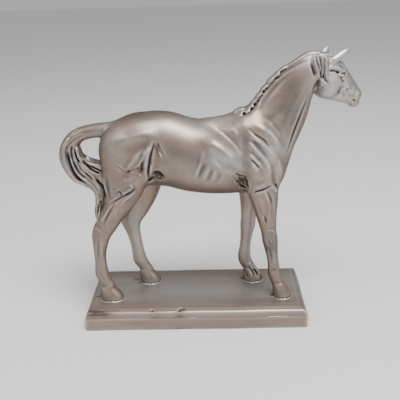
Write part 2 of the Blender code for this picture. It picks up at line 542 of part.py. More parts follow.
HEAD_LOCKS = [
    [(-8.3, -0.4, 1.4), (-8.5, -4.2, 1.5), (-7.3, -8.4, 1.5), (-5.9, -12.2, 1.2), (-4.6, -15.4, 0.4)],
    [(-4.6, -1.6, 0.9), (-5.0, -6.0, 1.0), (-4.1, -10.5, 1.0), (-3.0, -14.0, 0.8), (-2.2, -16.2, 0.3)],
    [(-2.1, -2.4, 0.9), (-2.8, -7.8, 1.0), (-2.5, -12.6, 1.0), (-1.3, -16.6, 0.8), (0.3, -19.4, 0.3)],
    [(0.3, -3.2, 1.1), (-0.5, -8.2, 1.1), (-0.1, -13.4, 1.1), (1.1, -17.0, 0.8), (3.3, -21.2, 0.3)],
]
BROW_LOCKS = [
    [(0.4, -9.5, 1.2), (4.3, -9.4, 1.5), (8.7, -9.9, 1.8), (12.6, -11.1, 1.3), (16.6, -11.6, 0.9)],
    [(9.6, -6.4, 0.7), (12.8, -8.2, 1.0), (16.0, -10.4, 0.7)],
]
HEAD_GAPS = [
    ([(-10.4, 1.6), (-10.9, -2.4), (-10.5, -5.6), (-9.5, -8.8), (-8.1, -12.2), (-6.9, -14.6)], 0.9, 2.3),
    ([(-6.2, 1.0), (-6.3, -2.8), (-6.2, -5.2), (-5.2, -8.9), (-4.0, -12.6), (-3.2, -15.4)], 0.4, 1.0),
    ([(-3.4, -0.6), (-3.8, -5.0), (-3.6, -8.5), (-3.1, -12.9), (-1.6, -16.9), (-0.6, -19.0)], 0.6, 1.9),
    ([(-0.9, -1.6), (-1.6, -6.0), (-1.7, -9.2), (-1.4, -13.6), (-0.3, -17.0), (2.4, -20.8)], 0.55, 1.7),
    ([(1.7, -5.0), (1.0, -8.4), (1.3, -12.0)], 0.4, 1.0),
    ([(-3.4, -15.6), (-4.2, -17.4), (-5.4, -19.6), (-6.5, -21.9), (-7.1, -24.5)], 0.85, 1.4),
    ([(1.4, -11.9), (3.7, -11.3), (6.5, -11.8), (8.7, -12.9), (10.5, -13.4)], 0.6, 1.3),
    ([(8.2, -12.5), (10.2, -13.1)], 0.9, 1.3),
    ([(9.4, -5.4), (12.8, -7.0), (16.5, -9.7)], 0.4, 1.0),
    ([(9.8, -7.8), (12.4, -9.5), (15.0, -11.0)], 0.4, 1.0),
]


def hair_of_head(clay):
    for side in (NEAR, OFF):
        for points in HEAD_LOCKS:
            lock(clay, side, points, frame=HEAD, sink=0.15, crown=0.7)
        for points in BROW_LOCKS:
            lock(clay, side, points, frame=HEAD)
        for points, width, depth in HEAD_GAPS:
            stroke(clay, side, points, width, depth, frame=HEAD, edge=1.2, soft=1.6, fade=0.2)
    for k in range(7):
        y = -3.0 + 1.0 * k
        r = 0.85 + 0.2 * math.sin(5 * k)
        tube(clay, [(-1, y, -0.9, r, r), (5, 1.1 * y, -1.7, 1.2 * r, 1.1 * r),
                    (11.0, 1.2 * y, -4.0, 1.1 * r, r), (15.6, y, -7.8, r, 0.9 * r),
                    (18.0, 0.8 * y, -11.2 - 0.4 * (k % 3), 0.35, 0.4)], 0.3, frame=HEAD)


# Lines of the body in its side plane: points, width, depth


HIND_QUARTER = [
    ([(-23.3, 121.2), (-24.6, 116.7), (-26.6, 111.1), (-27.8, 105.5), (-29.0, 99.7), (-29.2, 94.6),
      (-30.3, 91.0)], 0.6, 1.8),
    ([(-22.9, 120.0), (-22.4, 114.8), (-21.6, 110.0)], 2.2, 1.7),
    ([(-22.2, 114.2), (-19.2, 110.1)], 0.5, -0.9),
    ([(-21.9, 121.6), (-21.0, 117.3), (-19.3, 114.1), (-17.6, 110.0)], 0.7, 0.6),
    ([(-24.4, 121.6), (-26.6, 116.4), (-28.9, 110.4), (-30.4, 104.4), (-31.2, 98.0)], 1.5, -1.1),
    ([(-26.4, 108.0), (-26.0, 104.4)], 0.45, 0.8),
    ([(-24.6, 109.6), (-26.6, 103.0), (-27.0, 99.4)], 1.2, -0.5),
    ([(-25.9, 97.0), (-24.6, 98.7), (-22.6, 98.9), (-20.6, 97.2), (-18.8, 94.0)], 1.1, 2.2),
    ([(-30.0, 91.2), (-28.0, 93.6), (-26.0, 95.6)], 0.9, 2.0),
    ([(-26.0, 94.4), (-23.6, 96.2), (-21.6, 95.0)], 0.8, -0.9),
    ([(-22.6, 93.6), (-20.4, 93.4)], 0.8, 1.2),
    ([(-50.9, 121.4), (-43.1, 122.8), (-35.2, 124.4), (-27.4, 126.0), (-21.8, 126.2)], 3.0, -0.9),
    ([(-46.0, 114.0), (-39.0, 116.0), (-34.0, 117.6), (-27.5, 120.4)], 5.0, 1.5),
    ([(-26.6, 117.5), (-28.6, 114.8), (-33.5, 108.0), (-36.6, 103.4)], 1.3, -1.2),
    ([(-31.0, 115.6), (-38.5, 108.1), (-44.0, 101.6)], 1.5, -0.9),
    ([(-31.8, 111.4), (-35.8, 105.6)], 1.0, 0.7),
    ([(-31.2, 110.0), (-32.4, 105.0), (-32.6, 99.0)], 1.3, 0.8),
    ([(-50.4, 106.2), (-46.6, 102.9), (-43.2, 100.4)], 0.5, 0.6),
    ([(-43.6, 100.7), (-40.0, 101.9), (-36.9, 103.2)], 0.5, 0.6),
    ([(-42.6, 100.6), (-41.2, 101.2)], 0.9, 0.9),
    ([(-32.6, 107.7), (-33.1, 103.9), (-33.1, 99.2)], 0.5, 0.8),
    ([(-36.9, 103.0), (-34.4, 103.0), (-33.2, 101.0)], 0.9, 0.6),
    ([(-36.6, 100.6), (-34.6, 98.6), (-33.8, 96.8)], 0.9, -0.9),
    ([(-47.0, 96.5), (-42.0, 96.0), (-38.0, 97.6)], 2.2, -0.6),
    ([(-39.6, 93.4), (-38.7, 89.4), (-40.6, 86.5), (-45.8, 83.9), (-51.0, 80.7), (-58.4, 75.5)], 0.5, 1.1),
    ([(-41.6, 92.4), (-40.7, 89.4), (-43.0, 87.6), (-47.4, 85.8)], 0.8, -0.8),
    ([(-40.6, 89.2), (-41.8, 90.2)], 0.5, 0.8),
    ([(-50.9, 85.4), (-49.2, 87.0), (-47.9, 85.6), (-48.2, 83.6), (-49.8, 82.6)], 0.5, 1.0),
    ([(-38.2, 86.2), (-41.6, 83.4), (-45.4, 80.8), (-48.8, 77.8)], 0.9, -0.6),
    ([(-34.7, 81.7), (-41.0, 73.3), (-45.4, 68.4)], 0.9, 0.8),
    ([(-57.5, 98.0), (-57.6, 88.4), (-56.7, 78.6)], 1.8, 1.0),
    ([(-61.0, 99.0), (-60.2, 90.0), (-58.4, 81.0)], 0.9, -0.4),
    ([(-52.4, 79.0), (-57.5, 71.1), (-61.6, 63.8), (-63.4, 58.5)], 0.8, 0.8),
    ([(-48.6, 77.4), (-51.0, 72.4), (-53.4, 68.0)], 0.9, 0.5),
    ([(-54.6, 77.2), (-60.2, 69.6), (-65.2, 62.6)], 0.8, -0.5),
    ([(-46.0, 80.6), (-50.6, 73.6), (-55.6, 66.4)], 1.0, -0.4),
]
SHOULDER = [
    ([(38.0, 127.0), (43.3, 122.8), (48.8, 118.9), (53.6, 113.0)], 0.7, 1.2),
    ([(39.6, 123.4), (47.5, 117.4), (53.6, 111.6), (57.9, 106.4)], 1.6, -1.2),
    ([(36.4, 121.6), (42.7, 116.8), (46.3, 112.8), (50.6, 107.7), (53.0, 104.0)], 1.7, 1.3),
    ([(37.8, 118.6), (42.1, 114.9), (47.5, 109.1), (51.4, 102.9), (52.3, 98.6)], 1.3, -1.1),
    ([(37.2, 114.8), (40.2, 111.4), (44.5, 106.8), (48.6, 102.8)], 1.6, 0.9),
    ([(38.6, 110.4), (42.6, 106.6), (46.6, 102.0)], 1.1, -0.8),
    ([(38.4, 107.8), (41.5, 105.3), (45.1, 101.2), (46.6, 98.4)], 0.8, 0.8),
    ([(39.6, 103.4), (42.4, 101.0), (44.6, 98.2)], 1.4, -0.8),
    ([(40.4, 131.2), (47.0, 126.9), (53.6, 122.3), (58.1, 116.7), (60.6, 109.7)], 3.0, -1.4),
    ([(44.2, 136.0), (50.8, 131.4), (56.9, 124.6), (62.4, 114.6), (63.8, 108.4)], 2.6, 0.9),
    ([(52.6, 108.0), (54.2, 104.0), (55.0, 98.4), (55.2, 92.9), (56.4, 88.1), (58.8, 84.2)], 2.0, 1.6),
    ([(56.2, 88.7), (58.4, 84.6)], 0.5, 0.8),
    ([(58.4, 106.0), (60.2, 98.0), (60.0, 90.0)], 1.8, -0.6),
    ([(35.0, 127.4), (36.1, 120.6), (36.3, 111.5), (37.2, 102.1), (37.7, 94.2)], 2.6, 1.2),
    ([(41.2, 82.0), (44.7, 83.8), (49.0, 85.2), (54.6, 88.3)], 0.5, 1.7),
    ([(41.6, 85.4), (46.0, 87.6), (51.0, 90.6)], 1.4, -0.8),
    ([(42.6, 96.4), (46.4, 93.4), (50.4, 95.4)], 3.6, -0.8),
    ([(54.4, 87.4), (56.8, 84.6), (58.2, 81.6)], 1.2, -0.9),
    ([(50.5, 84.4), (53.0, 79.4), (54.4, 73.6)], 0.9, 0.6),
    ([(48.7, 84.4), (51.2, 79.6), (52.8, 74.6)], 0.8, -0.6),
]
BARREL = [
    ([(5.8, 122.0), (14.4, 119.0), (22.6, 113.2), (28.6, 107.4), (33.0, 101.5)], 4.2, -2.0),
    ([(9.2, 115.4), (12.8, 111.4), (17.1, 107.4), (24.5, 102.6), (31.8, 97.6)], 2.2, 1.1),
    ([(9.7, 127.6), (18.9, 124.6), (24.6, 120.9), (30.4, 115.8), (34.1, 109.0)], 2.4, 1.3),
    ([(24.0, 127.0), (28.6, 125.6), (32.0, 120.6)], 1.6, -0.5),
    ([(10.5, 107.2), (7.3, 101.1), (4.1, 93.3)], 1.3, 0.8),
    ([(14.4, 101.7), (12.4, 96.3), (10.4, 90.7)], 1.3, 0.7),
    ([(19.9, 98.4), (16.8, 90.6)], 1.3, 0.5),
    ([(9.2, 114.9), (7.6, 109.6), (5.0, 102.7), (1.7, 93.3)], 1.4, -0.7),
    ([(12.8, 105.9), (9.8, 97.9), (7.3, 90.8)], 1.3, -0.5),
    ([(16.6, 101.9), (13.9, 91.5)], 1.2, -0.4),
    ([(12.8, 111.0), (16.4, 106.3), (20.0, 102.4)], 1.4, -0.7),
    ([(29.2, 98.0), (32.0, 95.8), (35.8, 94.2)], 0.5, 1.1),
    ([(30.6, 93.2), (34.0, 92.8), (36.6, 90.0)], 0.45, 1.0),
    ([(29.0, 92.4), (31.6, 90.4), (33.8, 86.4), (36.4, 84.6)], 0.55, 1.3),
    ([(35.4, 95.4), (37.2, 89.7), (38.4, 84.0)], 0.6, 1.6),
    ([(31.6, 96.4), (32.4, 92.8), (34.6, 89.4)], 0.45, 1.0),
    ([(34.4, 93.4), (34.8, 89.8), (37.4, 86.6)], 0.5, 1.3),
    ([(31.6, 86.6), (34.6, 86.4), (38.2, 82.8)], 0.6, 1.5),
    ([(34.8, 83.4), (36.6, 81.6), (38.6, 82.4)], 0.6, 1.4),
]
THROAT = [
    ([(84.0, 158.0), (82.8, 154.6), (81.0, 151.0), (78.6, 145.1), (75.8, 138.5), (73.1, 131.9), (70.2, 124.6),
      (66.9, 114.9), (63.8, 104.0)], 0.65, 1.5),
    ([(46.0, 131.0), (52.5, 131.5), (60.0, 137.0), (66.0, 146.0)], 3.0, 0.7),
    ([(79.0, 158.0), (74.0, 148.0), (68.8, 137.4), (63.4, 126.5), (58.0, 117.5)], 2.6, -0.6),
    ([(39.6, 134.6), (45.6, 139.2), (51.6, 146.8), (57.0, 153.6)], 1.6, 0.5),
    ([(51.4, 122.4), (52.4, 121.2)], 0.6, 0.5),
]
# Lines of the legs: side, points, width, depth
LEG_LINES = [
    (NEAR, [(38.7, 81.6), (42, 72.3), (45.4, 62.0), (47.2, 57.0)], 0.7, 0.7),
    (NEAR, [(51.6, 84.6), (53.2, 79.5), (54.6, 71.4), (54.6, 60.2)], 0.9, 0.4),
    (NEAR, [(44.6, 82.0), (47.6, 74.0), (49.8, 64.0)], 1.4, -0.3),
    (NEAR, [(49.2, 66.6), (50.0, 63.0), (50.9, 58.6)], 0.7, 0.7),
    (NEAR, [(48.2, 66.0), (49.0, 62.0), (49.8, 58.6)], 0.5, -0.4),
    (NEAR, [(50.4, 52.4), (52.6, 54.4), (55.6, 53.6), (57.6, 51.0)], 0.8, -0.5),
    (NEAR, [(52.2, 46.6), (53.4, 44.0), (54.8, 43.0)], 0.6, 0.5),
    (NEAR, [(52.8, 41.0), (54.2, 34.0), (55.4, 26.0)], 0.6, 0.5),
    (NEAR, [(55.8, 40.0), (57.0, 33.0), (58.0, 26.0)], 0.8, -0.3),
    (NEAR, [(56.2, 22.8), (57.6, 22.4)], 0.5, 0.7),
    (NEAR, [(57.0, 13.0), (60.0, 11.6), (64.4, 11.0)], 0.5, 0.4),
    (NEAR, [(-71.4, 56.4), (-68.0, 57.8), (-64.8, 55.0)], 1.0, -0.5),
    (NEAR, [(-67.2, 51.0), (-68.9, 42.0), (-69.8, 30.0)], 0.6, 0.6),
    (NEAR, [(-65.0, 50.0), (-66.0, 42.0), (-66.6, 32.0)], 0.8, -0.35),
    (NEAR, [(-69.6, 22.0), (-67.4, 18.6), (-65.0, 15.4)], 0.6, 0.4),
    (NEAR, [(-70.0, 11.6), (-66.4, 11.8), (-62.0, 12.6)], 0.5, 0.4),
    (OFF, [(34.4, 79.0), (37.0, 70.0), (38.8, 60.0)], 0.7, 0.6),
    (OFF, [(41.8, 84.0), (44.4, 76.0), (45.4, 66.0)], 0.7, 0.6),
    (OFF, [(38.0, 40.0), (37.8, 33.0), (37.0, 26.0)], 0.6, 0.5),
    (OFF, [(-42.4, 78.0), (-46.0, 69.0), (-49.2, 60.0)], 0.8, 0.7),
    (OFF, [(-50.0, 50.0), (-48.0, 41.0), (-47.0, 31.0)], 0.6, 0.6),
    (OFF, [(37.6, 12.6), (40.6, 11.6), (44.0, 11.0)], 0.5, 0.4),
    (OFF, [(-45.0, 12.4), (-41.4, 11.8), (-37.6, 11.8)], 0.5, 0.4),
]
# The off fore hoof is roughly cast on the side that faces the near side
ROUGH_HOOF = [
    ([(39.0, 15.0), (43.0, 12.8), (46.6, 8.4), (49.6, 3.2)], 0.5, -1.0),
    ([(38.6, 12.0), (42.0, 9.6), (44.2, 5.4), (44.6, 2.0)], 0.6, 1.3),
    ([(43.4, 10.6), (45.8, 6.6), (47.4, 2.6)], 0.5, 1.1),
    ([(40.6, 8.6), (41.8, 5.0), (41.8, 1.6)], 0.5, -0.9),
    ([(37.2, 8.6), (38.8, 5.4), (39.0, 1.6)], 0.5, 1.0),
    ([(36.4, 11.6), (39.6, 10.8)], 0.5, 0.8),
    ([(41.0, 12.4), (44.4, 8.2)], 0.5, -0.7),
]


def muscles(clay):
    for side in (NEAR, OFF):
        for points, width, depth in HIND_QUARTER + SHOULDER + BARREL + THROAT:
            stroke(clay, side, points, width, depth)
    for side, points, width, depth in LEG_LINES:
        stroke(clay, side, points, width, depth, edge=12.0, soft=1.5)
    for points, width, depth in ROUGH_HOOF:
        x, z = np.array(points).T
        where, x, y, z = clay.window((x.min() - 2, 4, z.min() - 2), (x.max() + 2, 12.5, z.max() + 2))
        gate = np.clip((12.5 - y) / 1.5, 0, 1)
        clay.field[where] += (depth * line_strength(x, z, points, width, 0.3) * gate).astype(np.float32)


def sculpt(cell):
    clay = Clay((-96, -24, -3), (124, 30, 178), cell)
    torso(clay)
    neck(clay)
    legs(clay)
    skull(clay)
    clay.field = clay.softened(1.1)
    hooves(clay)
    muzzle(clay)
    eyes(clay)
    muscles(clay)
    face(clay)
    tail(clay)
    mane(clay)
    hair_of_head(clay)
    ears(clay)
    z = clay.low[2] + clay.cell * np.arange(clay.count[2])
    clay.field = np.maximum(clay.field, -z.astype(np.float32)[None, None, :])
    return clay


def fill_pinches(field, fill):
    """Fill grid points until no cell is crossed twice, so that the surface is manifold."""
    for attempt in range(60):
        inside = field < 0
        change = np.zeros_like(inside)
        for axis in range(3):
            one, two = [k for k in range(3) if k != axis]
            corner = {}
            for i in (0, 1):
                for j in (0, 1):
                    part = [slice(None)] * 3
                    part[one] = slice(i, inside.shape[one] - 1 + i)
                    part[two] = slice(j, inside.shape[two] - 1 + j)
                    corner[i, j] = tuple(part)
            a, b = inside[corner[0, 0]], inside[corner[0, 1]]
            c, d = inside[corner[1, 0]], inside[corner[1, 1]]
            pinch = (a == d) & (b == c) & (a != b)
            for part in corner.values():
                change[part] |= pinch
        part = {}
        for i in (0, 1):
            for j in (0, 1):
                for k in (0, 1):
                    part[i, j, k] = tuple(slice(o, n - 1 + o) for o, n in zip((i, j, k), inside.shape))
        total = sum(inside[p].astype(np.int8) for p in part.values())
        for i, j in ((0, 0), (0, 1), (1, 0), (1, 1)):
            a, b = inside[part[0, i, j]], inside[part[1, 1 - i, 1 - j]]
            pinch = (a & b & (total == 2)) | (~a & ~b & (total == 6))
            for p in part.values():
                change[p] |= pinch
        change &= ~inside
        if not change.any():
            break
        field[change] = -fill
    return field


def surface(field, low, cell):
    """Quads of the surface where the field is zero, one corner in each crossed cell."""
    inside = field < 0
    cells = tuple(n - 1 for n in field.shape)
    total = np.zeros(cells, np.int8)
    place = np.zeros(cells + (3,), np.float32)
    for axis in range(3):
        for i in (0, 1):
            for j in (0, 1):
                a = [i, j]
                a.insert(axis, 0)
                b = list(a)
                b[axis] = 1
                sa = tuple(slice(o, o + n) for o, n in zip(a, cells))
                sb = tuple(slice(o, o + n) for o, n in zip(b, cells))
                crossed = inside[sa] != inside[sb]
                t = np.where(crossed, field[sa] / np.where(crossed, field[sa] - field[sb], 1), 0)
                total += crossed
                for m in range(3):
                    place[..., m] += np.where(crossed, t if m == axis else a[m], 0)
    used = total > 0
    index = np.full(cells, -1, np.int32)
    index[used] = np.arange(used.sum())
    points = (np.argwhere(used) + place[used] / total[used][:, None]) * cell + low
    faces = []
    for axis in range(3):
        one, two = [k for k in range(3) if k != axis]
        sa = [slice(1, n - 1) for n in field.shape]
        sb = list(sa)
        sa[axis] = slice(0, cells[axis])
        sb[axis] = slice(1, cells[axis] + 1)
        for leaving in (False, True):
            a, b = inside[tuple(sa)], inside[tuple(sb)]
            where = np.argwhere((a & ~b) if leaving else (~a & b))
            where[:, one] += 1
            where[:, two] += 1
            corners = []
            for s1, s2 in ((0, 0), (-1, 0), (-1, -1), (0, -1)):
                c = where.copy()
                c[:, one] += s1
                c[:, two] += s2
                corners.append(index[c[:, 0], c[:, 1], c[:, 2]])
            quads = np.stack(corners, 1)
            faces.append(quads if leaving == (axis != 1) else quads[:, ::-1])
    return points, np.vstack(faces)


def largest_piece(points, faces):
    """Drop loose crumbs and closed-in bubbles."""
    label = np.arange(len(points))
    while True:
        before = label.copy()
        least = label[faces].min(1)
        for k in range(4):
            np.minimum.at(label, faces[:, k], least)
        label = label[label]
        if (label == before).all():
            break
    names, sizes = np.unique(label, return_counts=True)
    keep = label == names[sizes.argmax()]
    renumber = np.cumsum(keep) - 1
    return points[keep], renumber[faces[keep[faces[:, 0]]]]


def horse_surface(cell):
    clay = sculpt(cell)
    field = fill_pinches(clay.field, 0.05 * cell)
    points, faces = surface(field, clay.low, cell)
    return largest_piece(points, faces)


def soles(points):
    """Centre and half sizes of each hoof's print, in metres."""
    scale = HORSE_HEIGHT / DRAWN_HEIGHT
    low = points[points[:, 2] < 0.6] * scale
    prints = []
    for front in (False, True):
        for off in (False, True):
            part = low[((low[:, 0] > 0) == front) & ((low[:, 1] > 0) == off)]
            top, bottom = part.max(0), part.min(0)
            prints.append(((top[0] + bottom[0]) / 2, (top[1] + bottom[1]) / 2,
                           (top[0] - bottom[0]) / 2, (top[1] - bottom[1]) / 2))
    return prints


def material(name, colour, metallic, roughness):
    m = bpy.data.materials.new(name)
    m.use_nodes = True
    shader = m.node_tree.nodes["Principled BSDF"]
    shader.inputs["Base Color"].default_value = (*colour, 1)
    shader.inputs["Metallic"].default_value = metallic
    shader.inputs["Roughness"].default_value = roughness
    return m


def add_object(name, points, faces, colour):
    mesh = bpy.data.meshes.new(name)
    mesh.from_pydata(points, [], faces)
    mesh.update()
    ob = bpy.data.objects.new(name, mesh)
    bpy.context.collection.objects.link(ob)
    mesh.materials.append(material(name + " silver paint", colour, 0.85, 0.38))
    return ob


def horse(points, faces):
    scale = HORSE_HEIGHT / DRAWN_HEIGHT
    placed = points * scale
    placed[:, 2] += PLINTH_HEIGHT + SEAT_CLEARANCE
    ob = add_object("horse", placed.tolist(), faces.tolist(), (0.60, 0.56, 0.53))
    thin = ob.modifiers.new("fewer facets", "DECIMATE")
    thin.ratio = HORSE_TRIANGLES / (2 * len(faces))
    return ob


def rounded_outline(half_x, half_y, radius, z):
    loop = []
    for cx, cy, start in ((1, -1, -90), (1, 1, 0), (-1, 1, 90), (-1, -1, 180)):
        for k in range(5):
            a = math.radians(start + 22.5 * k)
            loop.append((cx * (half_x - radius) + radius * math.cos(a),
                         cy * (half_y - radius) + radius * math.sin(a), z))
    return loop


def plinth_rows():
    """Inset from the outermost face and height, from the underside to the plateau."""
    rows = [(FOOT_BEVEL, 0), (0, FOOT_BEVEL), (0, PLINTH_FACE)]
    for k in range(1, 6):
        a = math.radians(18 * k)
        rows.append((SHOULDER_INSET * (1 - math.cos(a)), PLINTH_FACE + SHOULDER_RISE * math.sin(a)))
    foot = SHOULDER_INSET + LEDGE
    rows.append((foot, PLINTH_FACE + SHOULDER_RISE))
    rows.append((foot + STEP_SLOPE, PLINTH_HEIGHT - STEP_EDGE))
    rows.append((foot + STEP_SLOPE + STEP_EDGE, PLINTH_HEIGHT))
    return rows


def seat_loop(seat, grow, z, count=28):
    x, y, a, b = seat
    loop = []
    for k in range(count):
        t = 2 * math.pi * k / count
        loop.append((x + (a + grow) * math.cos(t), y + (b + grow) * math.sin(t), z))
    return loop


def plinth(seats):
    rows = plinth_rows()
    inset = rows[-1][0]
    ends = max(abs(x) + a for x, y, a, b in seats)
    sides = max(abs(y) + b for x, y, a, b in seats)
    half_x = ends + PLATEAU_END_MARGIN + inset
    half_y = sides + PLATEAU_SIDE_MARGIN + inset
    points, faces = [], []
    count = 20
    for offset, z in rows:
        radius = max(CORNER_RADIUS - offset, 0.0005)
        points += rounded_outline(half_x - offset, half_y - offset, radius, z)
    for r in range(len(rows) - 1):
        for k in range(count):
            n = (k + 1) % count
            faces.append((r * count + k, r * count + n, (r + 1) * count + n, (r + 1) * count + k))
    faces.append(tuple(range(count))[::-1])
    rim = list(range((len(rows) - 1) * count, len(rows) * count))
    outlines = [rim]
    for seat in seats:
        rings = []
        for grow, lift in ((RIM_WIDTH, 0), (0.75 * RIM_WIDTH, 0.8 * RIM_RISE), (0.4 * RIM_WIDTH, RIM_RISE),
                           (0.1 * RIM_WIDTH, 0.8 * RIM_RISE), (0, 0)):
            first = len(points)
            points += seat_loop(seat, SEAT_CLEARANCE + grow, PLINTH_HEIGHT + lift)
            rings.append(list(range(first, len(points))))
        for a, b in zip(rings[:-1], rings[1:]):
            for k in range(len(a)):
                n = (k + 1) % len(a)
                faces.append((a[k], a[n], b[n], b[k]))
        faces.append(tuple(rings[-1]))
        outlines.append(rings[0])
    faces += plateau(points, outlines)
    return add_object("plinth", points, faces, (0.52, 0.48, 0.46))


def plateau(points, outlines):
    """Triangles between the plateau's edge and the rims of the seats."""
    order = [i for loop in outlines for i in loop]
    flat = [Vector(points[i][:2]) for i in order]
    edges, first = [], 0
    for loop in outlines:
        edges += [(first + k, first + (k + 1) % len(loop)) for k in range(len(loop))]
        first += len(loop)
    found, _, triangles, origin, _, _ = geometry.delaunay_2d_cdt(flat, edges, [], 0, 1e-9)
    faces = []
    for triangle in triangles:
        a, b, c = (order[origin[i][0]] for i in triangle)
        loops = [n for n, loop in enumerate(outlines[1:]) if a in loop and b in loop and c in loop]
        if loops:
            continue
        faces.append((a, b, c))
    return faces


def main():
    for ob in list(bpy.data.objects):
        bpy.data.objects.remove(ob)
    points, faces = horse_surface(CELL)
    plinth(soles(points))
    horse(points, faces)


main()
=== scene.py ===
"""Horse bookend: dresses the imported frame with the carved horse, its plinth, silver paint and a studio.

The horse is drawn in millimetres with its soles at z = 0, its head towards +x and its right side
towards -y, as a field of distances that is worked like clay, and is then scaled to its real height.
"""
import json
import math

import bpy
import numpy as np
from mathutils import Matrix, Vector

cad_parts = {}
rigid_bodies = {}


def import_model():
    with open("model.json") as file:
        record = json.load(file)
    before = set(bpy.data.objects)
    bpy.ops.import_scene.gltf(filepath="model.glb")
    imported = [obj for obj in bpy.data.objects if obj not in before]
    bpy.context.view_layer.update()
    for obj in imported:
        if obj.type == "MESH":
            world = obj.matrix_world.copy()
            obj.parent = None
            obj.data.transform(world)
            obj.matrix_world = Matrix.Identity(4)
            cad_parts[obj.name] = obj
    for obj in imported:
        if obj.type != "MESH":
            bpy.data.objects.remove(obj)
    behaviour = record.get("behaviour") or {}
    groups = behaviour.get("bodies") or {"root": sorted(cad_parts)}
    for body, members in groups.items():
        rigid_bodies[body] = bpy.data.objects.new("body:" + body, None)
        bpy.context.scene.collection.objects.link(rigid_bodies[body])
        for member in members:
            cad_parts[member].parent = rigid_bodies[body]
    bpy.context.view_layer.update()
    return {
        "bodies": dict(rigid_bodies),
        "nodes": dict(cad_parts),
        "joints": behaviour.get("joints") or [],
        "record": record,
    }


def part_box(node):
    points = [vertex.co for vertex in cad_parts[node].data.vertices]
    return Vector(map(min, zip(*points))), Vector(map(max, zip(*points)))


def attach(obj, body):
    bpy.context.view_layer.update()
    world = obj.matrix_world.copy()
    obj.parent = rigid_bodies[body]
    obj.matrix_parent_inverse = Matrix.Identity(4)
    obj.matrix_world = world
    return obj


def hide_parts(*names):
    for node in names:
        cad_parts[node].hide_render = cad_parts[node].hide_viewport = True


bl_info = {
    "name": "Horse bookend",
    "version": (1, 0, 0),
    "blender": (4, 5, 0),
    "location": "View3D > Sidebar > Horse bookend",
    "description": "Makes a silver horse bookend on a stepped plinth",
    "category": "Object",
}

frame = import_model()
HORSE_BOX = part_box("horse")
PLINTH_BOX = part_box("plinth")

NEAR, OFF = -1, 1            # the horse's right side, seen in the photograph, and its left
FAR = 12.0                   # distance that an empty block of clay starts with, mm
DRAWN_HEIGHT = 175.8         # soles to ear tips in the drawing, mm


# Settings


class HorseSettings(bpy.types.PropertyGroup):
    height: bpy.props.FloatProperty(
        name="Height", description="From the soles to the tips of the ears",
        default=0.1758, min=0.05, max=1.0, unit="LENGTH")
    grain: bpy.props.FloatProperty(
        name="Clay grain", description="Spacing of the grid the horse is modelled on, in drawn millimetres",
        default=0.56, min=0.4, max=2.0)
    facets: bpy.props.IntProperty(
        name="Facets", description="Most triangles in the finished horse", default=192000, min=5000)


class PlinthSettings(bpy.types.PropertyGroup):
    length: bpy.props.FloatProperty(
        name="Length", description="Along the horse", unit="LENGTH",
        default=PLINTH_BOX[1].x - PLINTH_BOX[0].x)
    depth: bpy.props.FloatProperty(
        name="Depth", description="Across the horse", unit="LENGTH",
        default=PLINTH_BOX[1].y - PLINTH_BOX[0].y)
    height: bpy.props.FloatProperty(
        name="Height", description="Underside to plateau", default=0.0150, unit="LENGTH")
    face: bpy.props.FloatProperty(
        name="Face", description="Upright face below the rounded shoulder", default=0.0096, unit="LENGTH")
    shoulder_rise: bpy.props.FloatProperty(
        name="Shoulder rise", description="Height of the rounded shoulder", default=0.0041, unit="LENGTH")
    shoulder_inset: bpy.props.FloatProperty(
        name="Shoulder inset", description="Width of the rounded shoulder", default=0.0030, unit="LENGTH")
    ledge: bpy.props.FloatProperty(
        name="Ledge", description="Flat between the shoulder and the step", default=0.0013, unit="LENGTH")
    rim: bpy.props.FloatProperty(
        name="Rim", description="Rise of the rim round each hoof", default=0.0006, unit="LENGTH")
    grain: bpy.props.FloatProperty(
        name="Clay grain", description="Spacing of the grid the plinth is modelled on, in millimetres",
        default=0.56, min=0.3, max=2.0)
    facets: bpy.props.IntProperty(
        name="Facets", description="Most triangles in the finished plinth", default=150000, min=2000)


class PaintSettings(bpy.types.PropertyGroup):
    silver: bpy.props.FloatVectorProperty(
        name="Silver", description="Cool silver of the back, neck and head", subtype="COLOR",
        default=(0.280, 0.276, 0.268), min=0, max=1)
    champagne: bpy.props.FloatVectorProperty(
        name="Champagne", description="Warm cast of the rump, tail and crest", subtype="COLOR",
        default=(0.325, 0.238, 0.192), min=0, max=1)
    # The dark brown of the patina in the hollows and of the brown stains, also used for the painted shade of
    # the deep gaps
    wash: bpy.props.FloatVectorProperty(
        name="Antique wash", description="Dark brown left in the hollows", subtype="COLOR",
        default=(0.068, 0.043, 0.031), min=0, max=1)
    # Painted shade: the colour that valleys and the regions given as darker are mixed towards; also the
    # colour of random thin patches of paint
    dull: bpy.props.FloatVectorProperty(
        name="Dull silver", description="Thin paint of the valleys and shaded places", subtype="COLOR",
        default=(0.165, 0.143, 0.135), min=0, max=1)
    # The slant tint also paints a darker outline standing in for a dark surround reflected at grazing angles,
    # besides the flake's own darkening
    slant: bpy.props.FloatVectorProperty(
        name="Slant", description="Tint of the metal flake where it is seen at a slant", subtype="COLOR",
        default=(0.42, 0.385, 0.36), min=0, max=1)
    # Worn fine edges, and the painted highlight of broad swells and of the regions given as lighter, mix
    # towards this silver
    rubbed: bpy.props.FloatVectorProperty(
        name="Rubbed edges", description="Bright silver on the ridges", subtype="COLOR",
        default=(0.64, 0.635, 0.615), min=0, max=1)
    roughness: bpy.props.FloatProperty(
        name="Roughness", description="Satin of the paint", default=0.40, min=0, max=1)
    metallic: bpy.props.FloatProperty(
        name="Metallic", description="Metal flake in the paint", default=0.72, min=0, max=1)


class StageSettings(bpy.types.PropertyGroup):
    floor: bpy.props.FloatProperty(
        name="Floor", description="Width of the pale floor", default=8.0, unit="LENGTH")
    key: bpy.props.FloatProperty(
        name="Key light", description="Power of the large light overhead, watts", default=12.0)
    fill: bpy.props.FloatProperty(
        name="Fill light", description="Power of the light from the head's side, watts", default=2.4)
    surround: bpy.props.FloatProperty(
        name="Surround", description="Brightness of the studio around", default=0.48)


# Clay: a grid of distances to the surface, negative inside


